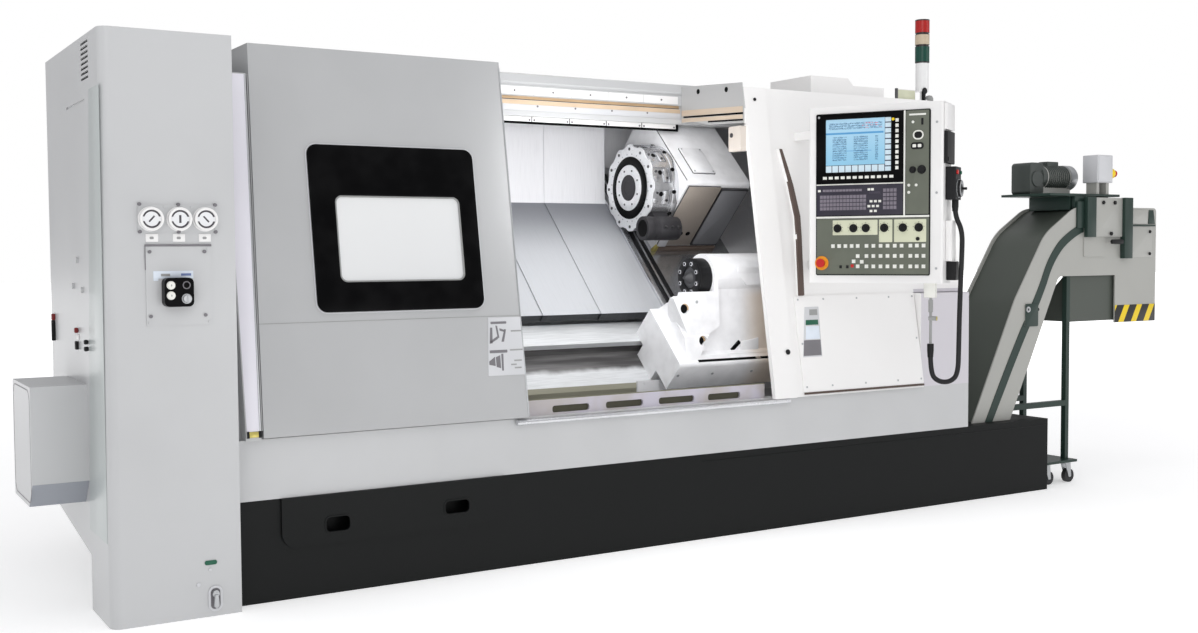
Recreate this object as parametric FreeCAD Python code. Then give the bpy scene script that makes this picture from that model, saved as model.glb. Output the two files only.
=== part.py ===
"""CNC turning lathe with a slant bed, tailstock, swinging control panel and chip conveyor.

Lengths are millimetres.  Everything is drawn in the shop frame: X runs along the machine
from the left side of the electrical cabinet, Y runs from its front face to the rear and Z is
up from the floor.  At the end the whole machine is moved so that the middle of its footprint
is the origin.
"""
import math
import os

import FreeCAD
import Part

V = FreeCAD.Vector

# ---- driving dimensions ------------------------------------------------------------------
CABINET_W, CABINET_D, CABINET_H = 459.0, 1046.0, 2100.0
MACHINE_RIGHT = 4315.0
MACHINE_REAR = 1750.0
PLINTH_RIGHT = 4933.0
PLINTH_TOP = 390.0
BASE_TOP = 620.0
BASE_FRONT = 77.5
BODY_TOP = 2100.0
REAR_TOP = 2135.0

SLANT_DEG = 9.5                  # lean of the door and the front panels
SLANT_Y = 40.0                   # where the leaning plane meets the base top
SPINDLE_Y, SPINDLE_Z = 420.0, 1187.0

DOOR_LEFT, DOOR_LEFT_TOP, DOOR_RIGHT = 565.0, 605.0, 1690.0
DOOR_TOP = 2125.0
DOOR_THICK = 40.0
LEAF_DEPTH, LEAF_THICK = 44.0, 22.0
FIXED_DEPTH, FIXED_THICK = 70.0, 12.0

PARTITION_X = 1440.0
SADDLE_LEFT, SADDLE_RIGHT = 2757.0, 3360.0
SADDLE_TOP = -238.0
COVER_TOP = -250.0
COVER_STEP = 6.0
COVER_SHEET = 3.0
LEFT_COVER = 364.0
LEFT_PITCH = 314.0
RIGHT_COVER = 590.0
RIGHT_PITCH = 125.0

TURRET_A = 635.0
TURRET_R = 218.0
TURRET_FACE = 2736.0
TURRET_BACK = 2878.0
TOOL_REACH = 294.0
TOOL_R = 58.0

QUILL_FACE, QUILL_R = 2781.0, 93.0
HEAD_LEFT, HEAD_R = 2846.0, 115.0

PILLAR_LEFT, PILLAR_RIGHT, PILLAR_DEPTH = 3000.0, 3130.0, 24.0

PANEL_CORNER = (3130.0, -40.0)
PANEL_TURN = -59.6
PANEL_W, PANEL_D = 620.0, 160.0
PANEL_LOW, PANEL_HIGH = 1165.0, 1972.0
PIVOT_U, PIVOT_T = 50.0, 190.0
SELECTORS = (141, 216, 274, 359, 444, 516)

TRUNK_NEAR, TRUNK_FAR = 150.0, 515.0
TRUNK_RIGHT = 5945.0

TAN = math.tan(math.radians(SLANT_DEG))
COS = math.cos(math.radians(SLANT_DEG))
SIN = math.sin(math.radians(SLANT_DEG))

NODES = {}


# ---- drawing helpers ---------------------------------------------------------------------
def add(name, *shapes):
    """Keep one named node made of one or more separate solids."""
    NODES[name] = shapes[0] if len(shapes) == 1 else Part.makeCompound(list(shapes))


def box(x0, x1, y0, y1, z0, z1):
    return Part.makeBox(x1 - x0, y1 - y0, z1 - z0, V(x0, y0, z0))


def rod(start, direction, radius, length):
    return Part.makeCylinder(radius, length, V(*start), V(*direction))


def tube(start, direction, outer, inner, length):
    return rod(start, direction, outer, length).cut(rod(start, direction, inner, length))


def outline(points, to_3d):
    """Closed wire through flat points; a third value rounds that corner to a radius."""
    ends = []
    count = len(points)
    for index, point in enumerate(points):
        here = V(point[0], point[1], 0)
        radius = point[2] if len(point) > 2 else 0.0
        if not radius:
            ends.append((here, None, here))
            continue
        before = points[index - 1]
        after = points[(index + 1) % count]
        back = (V(before[0], before[1], 0) - here).normalize()
        ahead = (V(after[0], after[1], 0) - here).normalize()
        half = back.getAngle(ahead) / 2.0
        reach = radius / math.tan(half)
        middle = (back + ahead).normalize() * (radius / math.sin(half) - radius)
        ends.append((here + back * reach, here + middle, here + ahead * reach))
    edges = []
    for index, (start, middle, end) in enumerate(ends):
        if middle is not None:
            edges.append(Part.Arc(to_3d(start), to_3d(middle), to_3d(end)).toShape())
        following = ends[(index + 1) % count][0]
        if end.distanceToPoint(following) > 1e-6:
            edges.append(Part.LineSegment(to_3d(end), to_3d(following)).toShape())
    return Part.Wire(edges)


def prism_x(points, x0, x1):
    """Flat (y, z) outline carried along X."""
    wire = outline(points, lambda p: V(x0, p.x, p.y))
    return Part.Face(wire).extrude(V(x1 - x0, 0, 0))


def prism_y(points, y0, y1):
    """Flat (x, z) outline carried along Y."""
    wire = outline(points, lambda p: V(p.x, y0, p.y))
    return Part.Face(wire).extrude(V(0, y1 - y0, 0))


def prism_z(points, z0, z1):
    """Flat (x, y) outline carried along Z."""
    wire = outline(points, lambda p: V(p.x, p.y, z0))
    return Part.Face(wire).extrude(V(0, 0, z1 - z0))


def rectangle(x0, x1, z0, z1, radius=0.0):
    corner = (radius,) if radius else ()
    return [(x0, z0) + corner, (x1, z0) + corner, (x1, z1) + corner, (x0, z1) + corner]


def placed(shape, axis, angle, move):
    moved = shape.copy()
    moved.Placement = FreeCAD.Placement(V(*move), FreeCAD.Rotation(V(*axis), angle))
    return moved


def on_slant(shape):
    """(x, depth behind the leaning front, distance up it) to the shop frame."""
    return placed(shape, (1, 0, 0), -SLANT_DEG, (0, SLANT_Y, BASE_TOP))


def on_bed(shape):
    """(x, up the slant bed, square to it), both from the spindle axis, to the shop frame."""
    return placed(shape, (1, 0, 0), 45.0, (0, SPINDLE_Y, SPINDLE_Z))


def on_panel(shape):
    """(across the control panel, behind its face, z) to the shop frame."""
    return placed(shape, (0, 0, 1), PANEL_TURN, (PANEL_CORNER[0], PANEL_CORNER[1], 0))


def up(z):
    """Distance up the leaning front at which its face reaches height z."""
    return (z - BASE_TOP) / COS


def front_y(z):
    return SLANT_Y + (z - BASE_TOP) * TAN


def above(shape, z):
    return shape.cut(box(-500, 7000, -1500, 3000, -500, z))


def screws_y(points, face_y, radius=5.0, height=3.0):
    """Screw heads standing on a front face."""
    return [rod((x, face_y, z), (0, -1, 0), radius, height) for x, z in points]


def bed_point(a, h):
    root = math.sqrt(2.0)
    return (SPINDLE_Y + (a - h) / root, SPINDLE_Z + (a + h) / root)


# ---- electrical cabinet ------------------------------------------------------------------
def cabinet():
    plan = [(0, 0, 38), (CABINET_W, 0), (CABINET_W, CABINET_D), (0, CABINET_D)]
    shell = prism_z(plan, 0, CABINET_H)
    side = [(-5, -5), (335, -5), (335, 206), (CABINET_D + 5, 302), (CABINET_D + 5, CABINET_H + 5),
            (-5, CABINET_H + 5)]
    shell = shell.common(prism_x(side, -5, CABINET_W + 5))
    for index in range(8):
        z = 1942 + 18 * index
        shell = shell.cut(box(-1, 7, 180, 310, z, z + 9))
    shell = shell.cut(box(-1, 6, 260, 615, 1866, 1875))
    duct = [(335, 482), (415, 392), (750, 392), (750, 838), (335, 838)]
    shell = shell.fuse(prism_x(duct, -197, 0))
    for y, z in ((451, 1295), (543, 1197), (369, 1185)):
        shell = shell.fuse(rod((0, y, z), (-1, 0, 0), 11, 9))
    shell = shell.fuse(prism_y(rectangle(118, 397, 1394, 1490, 6), -4, 0))
    shell = shell.fuse(prism_y(rectangle(141, 370, 1063, 1343, 5), -4, 0))
    spots = [(126, 1402), (389, 1402), (126, 1482), (389, 1482), (210, 1482), (305, 1482)]
    spots += [(151, 1073), (360, 1073), (151, 1333), (360, 1333)]
    for screw in screws_y(spots, -4):
        shell = shell.fuse(screw)
    add("cabinet_shell", shell)

    gauges = []
    for x in (161, 259, 350):
        body = rod((x, -4, 1439), (0, -1, 0), 37.5, 24)
        gauges.append(body.cut(rod((x, -24, 1439), (0, -1, 0), 33, 5)))
    add("pressure_gauges", *gauges)

    block = prism_y(rectangle(194, 296, 1130, 1232, 18), -46, -4)
    for z in (1206, 1170):
        block = block.fuse(rod((216, -46, z), (0, -1, 0), 8, 5))
    add("switch_block", block)
    key = rod((270, -46.3, 1158), (0, -1, 0), 13, 9)
    add("key_switch", key.cut(box(267.5, 272.5, -60, -52, 1146, 1170)))


# ---- base, plinth and rear housing -------------------------------------------------------
def base():
    tank = box(460, PLINTH_RIGHT, BASE_FRONT, MACHINE_REAR - 15, 0, PLINTH_TOP)
    tank = tank.cut(box(664, 1556, BASE_FRONT - 1, 150, 220, 372))
    add("plinth_tank", tank)
    cover = prism_y([(636, 197, 60), (1583, 197, 60), (1583, 389), (636, 389)],
                    BASE_FRONT - 12, BASE_FRONT)
    cover = cover.cut(prism_y(rectangle(810, 906, 243, 300, 18), 0, 100))
    cover = cover.cut(prism_y(rectangle(1312, 1419, 258, 310, 18), 0, 100))
    add("tank_access_cover", cover)

    skirt = box(460, MACHINE_RIGHT, BASE_FRONT, MACHINE_REAR - 15, PLINTH_TOP, BASE_TOP)
    skirt = skirt.cut(box(1460, 4180, 165, 455, 480, BASE_TOP + 1))
    add("base_skirt", skirt)

    rail = rod((1640, 60, 606), (1, 0, 0), 12, 1458)
    for x in (1700, 2360, 3030):
        rail = rail.fuse(box(x, x + 24, 60, BASE_FRONT, 600, 612))
    add("door_guide_rail", rail)


def rear_housing():
    rear = box(460, MACHINE_RIGHT, MACHINE_REAR - 15, MACHINE_REAR, 40, REAR_TOP)
    roof = box(460, MACHINE_RIGHT, 860, MACHINE_REAR - 15, REAR_TOP - 15, REAR_TOP)
    left = [(124, BASE_TOP), (124 + (1970 - BASE_TOP) * TAN, 1970), (790, 1970), (790, 1915),
            (860, 1915), (860, REAR_TOP - 15), (MACHINE_REAR - 15, REAR_TOP - 15),
            (MACHINE_REAR - 15, BASE_TOP)]
    wall = prism_x(left, PARTITION_X - 15, PARTITION_X)
    hole = rod((PARTITION_X - 20, SPINDLE_Y, SPINDLE_Z), (1, 0, 0), 124, 30)
    right = [(150, BASE_TOP), (150, 1095), (front_y(2085) + 26, 2085), (790, 2085), (790, 1950),
             (860, 1950), (860, REAR_TOP - 15), (MACHINE_REAR - 15, REAR_TOP - 15),
             (MACHINE_REAR - 15, BASE_TOP)]
    end = prism_x(right, MACHINE_RIGHT - 12, MACHINE_RIGHT)
    add("housing_walls", rear, roof, prism_x(left, 460, 472), wall.cut(hole), end)
    beam = [(860, 1961), (860, 2167), (832, 2167), (800, 2124), (800, 2114), (806, 2114),
            (806, 2106), (800, 2106), (800, 2056), (812, 2056), (812, 2038), (800, 2038),
            (800, 1985), (792, 1985), (792, 1961)]
    add("top_beam", prism_x(beam, 472, MACHINE_RIGHT - 12))


# ---- bed, headstock and chuck ------------------------------------------------------------
def bed():
    section = [(468, BASE_TOP), bed_point(-333, -400), bed_point(-104, -400),
               bed_point(-104, -330), bed_point(22, -330), bed_point(22, -420),
               bed_point(1000, -420), (1424.1, BASE_TOP)]
    pieces = [prism_x(section, PARTITION_X, 4250)]
    for a in (100, 860):
        pieces.append(on_bed(box(PARTITION_X + 10, 4240, a, a + 60, -420, -385)))
    pieces.append(on_bed(rod((PARTITION_X, 500, -392), (1, 0, 0), 20, 2800)))
    add("bed_casting", *pieces)


def sill():
    strip = box(2500, 4170, 456, 466, BASE_TOP, 700)
    spots = [(x, 688) for x in range(2540, 4170, 90)]
    for screw in screws_y(spots, 456):
        strip = strip.fuse(screw)
    lip = box(1662, 2998, 122, 134, BASE_TOP, 690)
    for left, right in ((1845, 2030), (2115, 2310), (2395, 2590), (2668, 2853)):
        lip = lip.cut(prism_y(rectangle(left, right, 628, 658, 12), 120, 136))
    add("door_sill", lip, strip)


def spindle():
    section = [(180, BASE_TOP), (230, 900), (262, 1330, 40), (590, 1400, 60), (1180, 1120, 60),
               (1200, BASE_TOP)]
    bore = rod((400, SPINDLE_Y, SPINDLE_Z), (1, 0, 0), 80.05, 1200)
    motor = rod((520, SPINDLE_Y, SPINDLE_Z), (1, 0, 0), 170, 140)
    foot = box(520, 660, 300, 540, BASE_TOP, SPINDLE_Z)
    add("headstock_casting", prism_x(section, 660, 1395).fuse(motor).fuse(foot).cut(bore))
    shaft = rod((500, SPINDLE_Y, SPINDLE_Z), (1, 0, 0), 80, 895.3)
    nose = rod((1395.3, SPINDLE_Y, SPINDLE_Z), (1, 0, 0), 118, 54.7)
    through = rod((499, SPINDLE_Y, SPINDLE_Z), (1, 0, 0), 37, 1150)
    body = shaft.fuse(nose).fuse(rod((1450, SPINDLE_Y, SPINDLE_Z), (1, 0, 0), 150, 190))
    body = body.cut(through)
    for index in range(3):
        slot = box(1600, 1641, SPINDLE_Y - 9, SPINDLE_Y + 9, SPINDLE_Z + 55, SPINDLE_Z + 148)
        slot.rotate(V(0, SPINDLE_Y, SPINDLE_Z), V(1, 0, 0), 120 * index + 60)
        body = body.cut(slot)
    add("chuck_body", body)
    for index in range(3):
        steps = [(1640.3, 56), (1702, 56), (1702, 92), (1682, 92), (1682, 146), (1640.3, 146)]
        jaw = prism_y([(x, SPINDLE_Z + r) for x, r in steps], SPINDLE_Y - 21, SPINDLE_Y + 21)
        jaw.rotate(V(0, SPINDLE_Y, SPINDLE_Z), V(1, 0, 0), 120 * index)
        add("chuck_jaw_%d" % (index + 1), jaw)


# ---- carriage, covers, cross slide and turret --------------------------------------------
def cover_section(order):
    """Section of a way cover; a larger order lies deeper under the outermost one."""
    gap = COVER_STEP * order
    lip = 12 + gap
    top = COVER_TOP - gap
    wall = 1155 + gap
    rise = SPINDLE_Z - SPINDLE_Y + math.sqrt(2.0) * top
    inner_rise = SPINDLE_Z - SPINDLE_Y + math.sqrt(2.0) * (top - COVER_SHEET)
    inner_wall = wall + COVER_SHEET
    return [bed_point(lip, -300), bed_point(lip, top), (wall, wall + rise), (wall, 2060),
            (inner_wall, 2060), (inner_wall, inner_wall + inner_rise),
            bed_point(lip + COVER_SHEET, top - COVER_SHEET), bed_point(lip + COVER_SHEET, -300)]


def way_covers():
    left = []
    for number in range(4):
        end = SADDLE_LEFT - LEFT_PITCH * (3 - number)
        start = end - LEFT_COVER if number else PARTITION_X
        left.append(prism_x(cover_section(3 - number), start, end))
    right = []
    for number in range(3):
        start = SADDLE_RIGHT + RIGHT_PITCH * (2 - number)
        end = start + RIGHT_COVER if number else MACHINE_RIGHT - 12
        right.append(prism_x(cover_section(2 - number), start, end))
    add("fixed_covers", left[0], right[0])
    add("left_cover_1", left[1])
    add("left_cover_2", left[2])
    add("right_cover_1", right[1])
    shield = [(1338, saddle_end(1338)), (1342, saddle_end(1342)), (1342, 2060), (1338, 2060)]
    add("carriage_covers", left[3], right[2], prism_x(shield, SADDLE_LEFT, SADDLE_RIGHT))


def saddle():
    section = [(27, -360), (85, -360), (85, -410), (99, -410), (99, -384.5), (161, -384.5),
               (161, -410), (175, -410), (175, -360), (845, -360), (845, -410), (859, -410),
               (859, -384.5), (921, -384.5), (921, -410), (935, -410), (935, -360),
               (1060, -360), (1060, SADDLE_TOP), (27, SADDLE_TOP)]
    body = prism_x(section, SADDLE_LEFT, SADDLE_RIGHT)
    body = body.fuse(box(2950, 3150, 460, 540, -415, -360))
    body = body.cut(rod((2900, 500, -392), (1, 0, 0), 20.5, 300))
    body = body.fuse(box(SADDLE_LEFT, SADDLE_LEFT + 26, 27, 1000, SADDLE_TOP, SADDLE_TOP + 4))
    for x in (2790, 2830):
        body = body.fuse(box(x, x + 22, 40, 1000, SADDLE_TOP, SADDLE_TOP + 6))
    add("saddle", on_bed(body))


def saddle_end(y):
    """Height of the saddle's upper end face at a given depth."""
    return SPINDLE_Z + math.sqrt(2.0) * 1060 - (y - SPINDLE_Y)


def cross_slide():
    housing = prism_x([(433.5, SADDLE_TOP + 0.5), (1000, SADDLE_TOP + 0.5), (1000, 225, 30),
                       (433.5, 225, 18)], 2880, 3267)
    housing = housing.fuse(box(2945, 3075, 505, 685, 225, 231))
    add("turret_housing", on_bed(housing))
    cover = prism_x(rectangle(425.5, 433.5, -196, 205), 2890, 3087)
    for h in (-110, -78):
        cover = cover.cut(rod((2912, 420, h), (0, 1, 0), 11, 10))
    motor = prism_x(rectangle(421, 433.5, -196, 196), 3093, 3261)
    wiper = box(2884, 3263, 424, 433.5, -236, -210)
    add("turret_end_covers", on_bed(cover), on_bed(motor), on_bed(wiper))


def turret():
    drum = rod((TURRET_FACE, TURRET_A, 0), (1, 0, 0), TURRET_R, TURRET_BACK - TURRET_FACE)
    for index in range(12):
        slot = box(TURRET_FACE - 1, TURRET_FACE + 96, TURRET_A - 40, TURRET_A + 40, 206, 240)
        slot.rotate(V(0, TURRET_A, 0), V(1, 0, 0), 90 + 30 * index)
        drum = drum.cut(slot)
    ring = rod((TURRET_FACE - 6, TURRET_A, 0), (1, 0, 0), 156, 6)
    hub = rod((TURRET_FACE - 12, TURRET_A, 0), (1, 0, 0), 115.5, 12)
    hub = hub.fuse(rod((TURRET_FACE - 16, TURRET_A, 0), (1, 0, 0), 65, 5))
    add("turret_drum", on_bed(drum.fuse(ring).fuse(hub)))
    centre = TURRET_A - TOOL_REACH
    holder = rod((2670, centre, 0), (1, 0, 0), TOOL_R, 195)
    holder = holder.fuse(box(TURRET_FACE + 8, TURRET_FACE + 92, centre, TURRET_A - 206, -36, 36))
    add("tool_holder", on_bed(holder))


# ---- tailstock ---------------------------------------------------------------------------
def tailstock_wing():
    """Lower left arm of the tailstock with the pockets of its two clamping bolts."""
    deep = [(278.6, 819.3), (300.3, 1122), (332, 1122), (347, 1090), (430, 1068),
            bed_point(-50, -160), bed_point(-200, -200)]
    thin = [(278.6, 819.3), (299, 1104), (314, 1104), (360, 1069), (393, 1016), (393, 900)]
    arm = prism_x(deep, 2650, 2900).fuse(prism_x(thin, 2590, 2900))
    arm = arm.common(prism_y([(2722, 810), (2597, 1096), (2640, 1124), (2900, 1124), (2900, 810)],
                             200, 700))
    step = [(-384, -161), (-90, -161), (-90, -95), (-290, -95)]
    arm = arm.fuse(on_bed(prism_x(step, 2648, 2900)))
    for x, z in ((2654, 1039), (2749, 885)):
        arm = arm.cut(rod((x, 240, z), (0, 1, 0), 14, 110))
        arm = arm.cut(rod((x + 7, 240, z + 6), (0, 1, 0), 24, 60))
    return arm


def tailstock():
    foot = prism_x([(-410, -329.5), (-290, -329.5), (-290, -399.5), (-130, -399.5),
                    (-130, -329.5), (-50, -329.5), (-50, -160), (-410, -160, 20)], 2600, 3350)
    slot = box(2712, 3330, -396, -381, -190, -155)
    foot = on_bed(foot.cut(slot))
    web = [(278.6, 819.3), (305, SPINDLE_Z), (420, SPINDLE_Z + 60), bed_point(20, -113.2),
           bed_point(-50, -160), bed_point(-200, -200)]
    web = prism_x(web, 2640, 3450)
    side = [(2660, 780), (2700, 815), (2790, 905, 60), (2852, 1010, 90), (2852, 1300),
            (3450, 1300), (3450, 780)]
    web = web.common(prism_y(side, 200, 700)).fuse(tailstock_wing())
    field = prism_y([(2732, 824), (2762, 872), (2800, 927), (2862, 957), (2862, 1181),
                     (3002, 1185), (3030, 1151), (3460, 1148), (3460, 824)], 150, 400)
    web = web.cut(field.common(prism_x([(150, 800), (297, 800), (323, 1190), (150, 1190)],
                                       2700, 3470)))
    head = rod((HEAD_LEFT, SPINDLE_Y, SPINDLE_Z), (1, 0, 0), HEAD_R, 3450 - HEAD_LEFT)
    body = foot.fuse(web).fuse(head)
    body = body.cut(rod((HEAD_LEFT - 1, SPINDLE_Y, SPINDLE_Z), (1, 0, 0), 60.05, 480))
    add("tailstock_body", body.removeSplitter())
    drum = rod((QUILL_FACE, SPINDLE_Y, SPINDLE_Z), (1, 0, 0), QUILL_R, HEAD_LEFT - QUILL_FACE - 0.3)
    drum = drum.cut(rod((QUILL_FACE - 1, SPINDLE_Y, SPINDLE_Z), (1, 0, 0), 52, 9))
    shaft = rod((HEAD_LEFT - 1, SPINDLE_Y, SPINDLE_Z), (1, 0, 0), 60, 430)
    add("quill", drum.fuse(shaft))


# ---- front: doors, posts and panels ------------------------------------------------------
def doors():
    slab = prism_y([(DOOR_LEFT, 8), (DOOR_RIGHT, 8), (DOOR_RIGHT, up(DOOR_TOP)),
                    (DOOR_LEFT_TOP, up(DOOR_TOP))], 0, DOOR_THICK)
    hole = prism_y(rectangle(880, 1476, up(1172), up(1570), 20), -10, 100)
    slab = slab.cut(hole)
    slab = on_slant(slab)
    roof = box(DOOR_LEFT_TOP, DOOR_RIGHT, 300, 785, 2105, 2125)
    skirt = [(325, 1984), (785, 1984), (785, 2110), (325, 2110)]
    slab = slab.fuse(roof).fuse(prism_x(skirt, DOOR_LEFT_TOP, DOOR_LEFT_TOP + 14))
    frame = prism_y(rectangle(810, 1520, up(1088), up(1738), 36), -7, 0)
    frame = frame.cut(prism_y(rectangle(908, 1448, up(1200), up(1542), 14), -10, 5))
    slab = slab.fuse(on_slant(frame))
    add("door_panel", slab.removeSplitter())
    glass = prism_y(rectangle(882, 1474, up(1174), up(1568), 18), 0, 8)
    add("door_glass", on_slant(glass))

    leaf = prism_y(rectangle(600, 1660, up(650), up(1965)), LEAF_DEPTH, LEAF_DEPTH + LEAF_THICK)
    add("inner_leaf", on_slant(leaf))
    fixed = prism_y(rectangle(460, 1660, -20, up(1975)), FIXED_DEPTH, FIXED_DEPTH + FIXED_THICK)
    post = prism_y([(500, -20), (558, -20), (594, up(2008)), (500, up(2008))], 8, FIXED_DEPTH)
    add("left_front_panel", above(on_slant(fixed.fuse(post)), BASE_TOP))


def right_end():
    pillar = [(front_y(BASE_TOP), BASE_TOP), (front_y(BODY_TOP), BODY_TOP),
              (front_y(BODY_TOP) + PILLAR_DEPTH, BODY_TOP),
              (front_y(BASE_TOP) + PILLAR_DEPTH, BASE_TOP)]
    pillar = prism_x(pillar, PILLAR_LEFT, PILLAR_RIGHT)
    gusset = prism_x([(front_y(1925), 1925), (560, 1940), (791, 1985), (791, 2150),
                      (front_y(2120), 2120)], PILLAR_LEFT - 6, PILLAR_LEFT)
    for y, z in ((644, 2112), (412, 2098)):
        gusset = gusset.cut(rod((PILLAR_LEFT - 7, y, z), (1, 0, 0), 12, 8))
    stop = prism_x(rectangle(256, 352, 1790, 1910, 8), 2962, PILLAR_LEFT)
    foot = box(3050, PILLAR_RIGHT, 50, 118, BASE_TOP, BASE_TOP + 10)
    add("right_pillar", pillar.fuse(gusset).fuse(stop).fuse(foot))
    front = [(PILLAR_RIGHT, -20), (3970, -20), (3970, up(1100)), (MACHINE_RIGHT, up(1100)),
             (MACHINE_RIGHT, up(2120)), (PILLAR_RIGHT, up(2120))]
    front = on_slant(prism_y(front, 12, 24))
    front = above(front, BASE_TOP).cut(box(3000, 4400, 0, 900, BODY_TOP, 2300))
    front = front.fuse(on_slant(prism_y(rectangle(3180, 3966, up(642), up(1098), 6), 5, 12)))
    route = [(3183, 1804), (3224, 1630), (3246, 1480), (3233, 1286), (3218, 1100)]
    right = [(x + 13.5, up(z)) for x, z in route]
    left = [(x - 13.5, up(z)) for x, z in reversed(route)]
    front = front.fuse(on_slant(prism_y(right + left, -8, 12)))
    end = [(BASE_FRONT, BASE_TOP), (BASE_FRONT, 1095, 8), (150, 1095), (150, BASE_TOP)]
    end = prism_x(end, 3970, MACHINE_RIGHT)
    roof = box(PILLAR_RIGHT, MACHINE_RIGHT, front_y(BODY_TOP) + 26, 800, BODY_TOP - 15, BODY_TOP)
    add("right_housing", front, end, roof)
    hood = [(3476, BODY_TOP), (3476, 2190), (3722, 2190), (3758, 2154), (3970, 2154),
            (3970, BODY_TOP)]
    add("top_hood", prism_y(hood, 350, 670), box(4060, 4190, 346, 352, BODY_TOP, 2157))


def signal_tower():
    x, y = 4243, 350
    tower = rod((x, y, BODY_TOP), (0, 0, 1), 11, 203)
    tower = tower.fuse(rod((x, y, BODY_TOP), (0, 0, 1), 28, 8))
    tower = tower.fuse(rod((x, y, 2150), (0, 0, 1), 34, 153))
    for low, high in ((2303, 2389), (2395, 2452), (2458, 2529)):
        tower = tower.fuse(rod((x, y, low), (0, 0, 1), 37.5, high - low))
    tower = tower.fuse(rod((x, y, 2303), (0, 0, 1), 33, 200))
    add("signal_tower", tower)


# ---- swinging control panel --------------------------------------------------------------
def control_panel():
    x, y = pivot()
    post = rod((x, y, 1225), (0, 0, 1), 20, 670)
    arms = []
    for z in (1225, 1850):
        arm = prism_z([(x - 26, y - 26, 25), (x + 26, y - 26, 25), (x + 26, 420), (x - 26, 420)],
                      z, z + 40)
        arms.append(arm)
    bracket = post.fuse(arms[0]).fuse(arms[1])
    front = on_slant(box(3000, 3700, 12, 900, -100, 1700))
    add("panel_bracket", bracket.cut(front))

    shell = prism_z(rectangle(0, PANEL_W, 0, PANEL_D, 10), PANEL_LOW, PANEL_HIGH)
    lugs = []
    for z in (1300, 1740):
        lug = prism_z([(18, PANEL_D - 5), (82, PANEL_D - 5), (82, 222, 20), (18, 222, 20)], z, z + 90)
        lugs.append(lug)
    shell = shell.fuse(lugs[0]).fuse(lugs[1])
    shell = shell.cut(rod((PIVOT_U, PIVOT_T, 1290), (0, 0, 1), 20.05, 560))
    add("panel_housing", on_panel(shell))
    face = prism_y(rectangle(36, 565, 1200, 1940, 8), -4, 0)
    for area in ((44, 440, 1478, 1612), (44, 557, 1208, 1458), (454, 559, 1478, 1932)):
        face = face.fuse(prism_y(rectangle(*area, 5), -7, -4))
    face = face.fuse(rod((66, -7, 1256), (0, -1, 0), 26, 4))
    face = face.cut(rod((66, -12, 1256), (0, 1, 0), 11.4, 10))
    add("panel_face", on_panel(face))
    add("panel_screen", on_panel(prism_y(rectangle(82, 390, 1669, 1914, 6), -7, -4)))
    for index, u in enumerate(SELECTORS):
        knob = rod((u, -7.3, 1415), (0, -1, 0), 15, 14).fuse(rod((u, -7.3, 1415), (0, -1, 0), 19, 5))
        knob = knob.fuse(box(u - 3, u + 3, -26, -20, 1402, 1430))
        add("selector_knob_%d" % (index + 1), on_panel(knob))
    add("estop_button", on_panel(mushroom((66, -10, 1256), (0, -1, 0))))

    side = box(PANEL_W, PANEL_W + 14, 14, 150, 1700, 1840)
    pod = prism_z(rectangle(PANEL_W, PANEL_W + 46, 40, 150, 8), 1538, 1684)
    pod = pod.fuse(rod((652, 95, 1508), (0, 0, 1), 14, 30))
    wheel = rod((PANEL_W + 46.3, 95, 1588), (1, 0, 0), 38, 14)
    wheel = wheel.fuse(rod((PANEL_W + 60, 95 + 24, 1588), (1, 0, 0), 6, 18))
    add("handwheel", on_panel(wheel))
    foot = box(PANEL_W, PANEL_W + 40, 70, 130, 1180, 1260)
    add("panel_side_units", on_panel(side), on_panel(pod), on_panel(foot), on_panel(air_line()))
    add("air_hose", hose())


def pivot():
    turn = math.radians(PANEL_TURN)
    x = PANEL_CORNER[0] + PIVOT_U * math.cos(turn) - PIVOT_T * math.sin(turn)
    y = PANEL_CORNER[1] + PIVOT_U * math.sin(turn) + PIVOT_T * math.cos(turn)
    return x, y


def mushroom(start, direction, cap=12):
    """Emergency-stop head: a short stem under a wide cap."""
    stem = rod(start, direction, 11, 12)
    cap_start = V(*start) + V(*direction) * 10
    return stem.fuse(rod(cap_start, direction, 20, cap))


def air_line():
    """Fitting under the panel with a drop pipe, its sleeve and tee, and the hose's ferrule."""
    pipe = box(526, 578, 46, 74, 1100, PANEL_LOW).fuse(rod((554, 60, 880), (0, 0, 1), 6, 225))
    pipe = pipe.fuse(rod((554, 60, 1034), (0, 0, 1), 10, 55))
    pipe = pipe.fuse(rod((546, 60, 1006), (1, 0, 0), 10, 34))
    return pipe.fuse(rod((554, 60, 861), (0, 0, 1), 14, 30))


HOSE_R = 11.0
HOSE_ROUTE = [(554, 60, 861), (554, 60, 757), (590, 60, 721), (642, 60, 721), (678, 60, 757),
              (680, 62, 882), (680, 70, 1010), (681, 82, 1150), (684, 92, 1290), (685, 95, 1400),
              (652, 95, 1466), (652, 95, 1508)]


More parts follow.
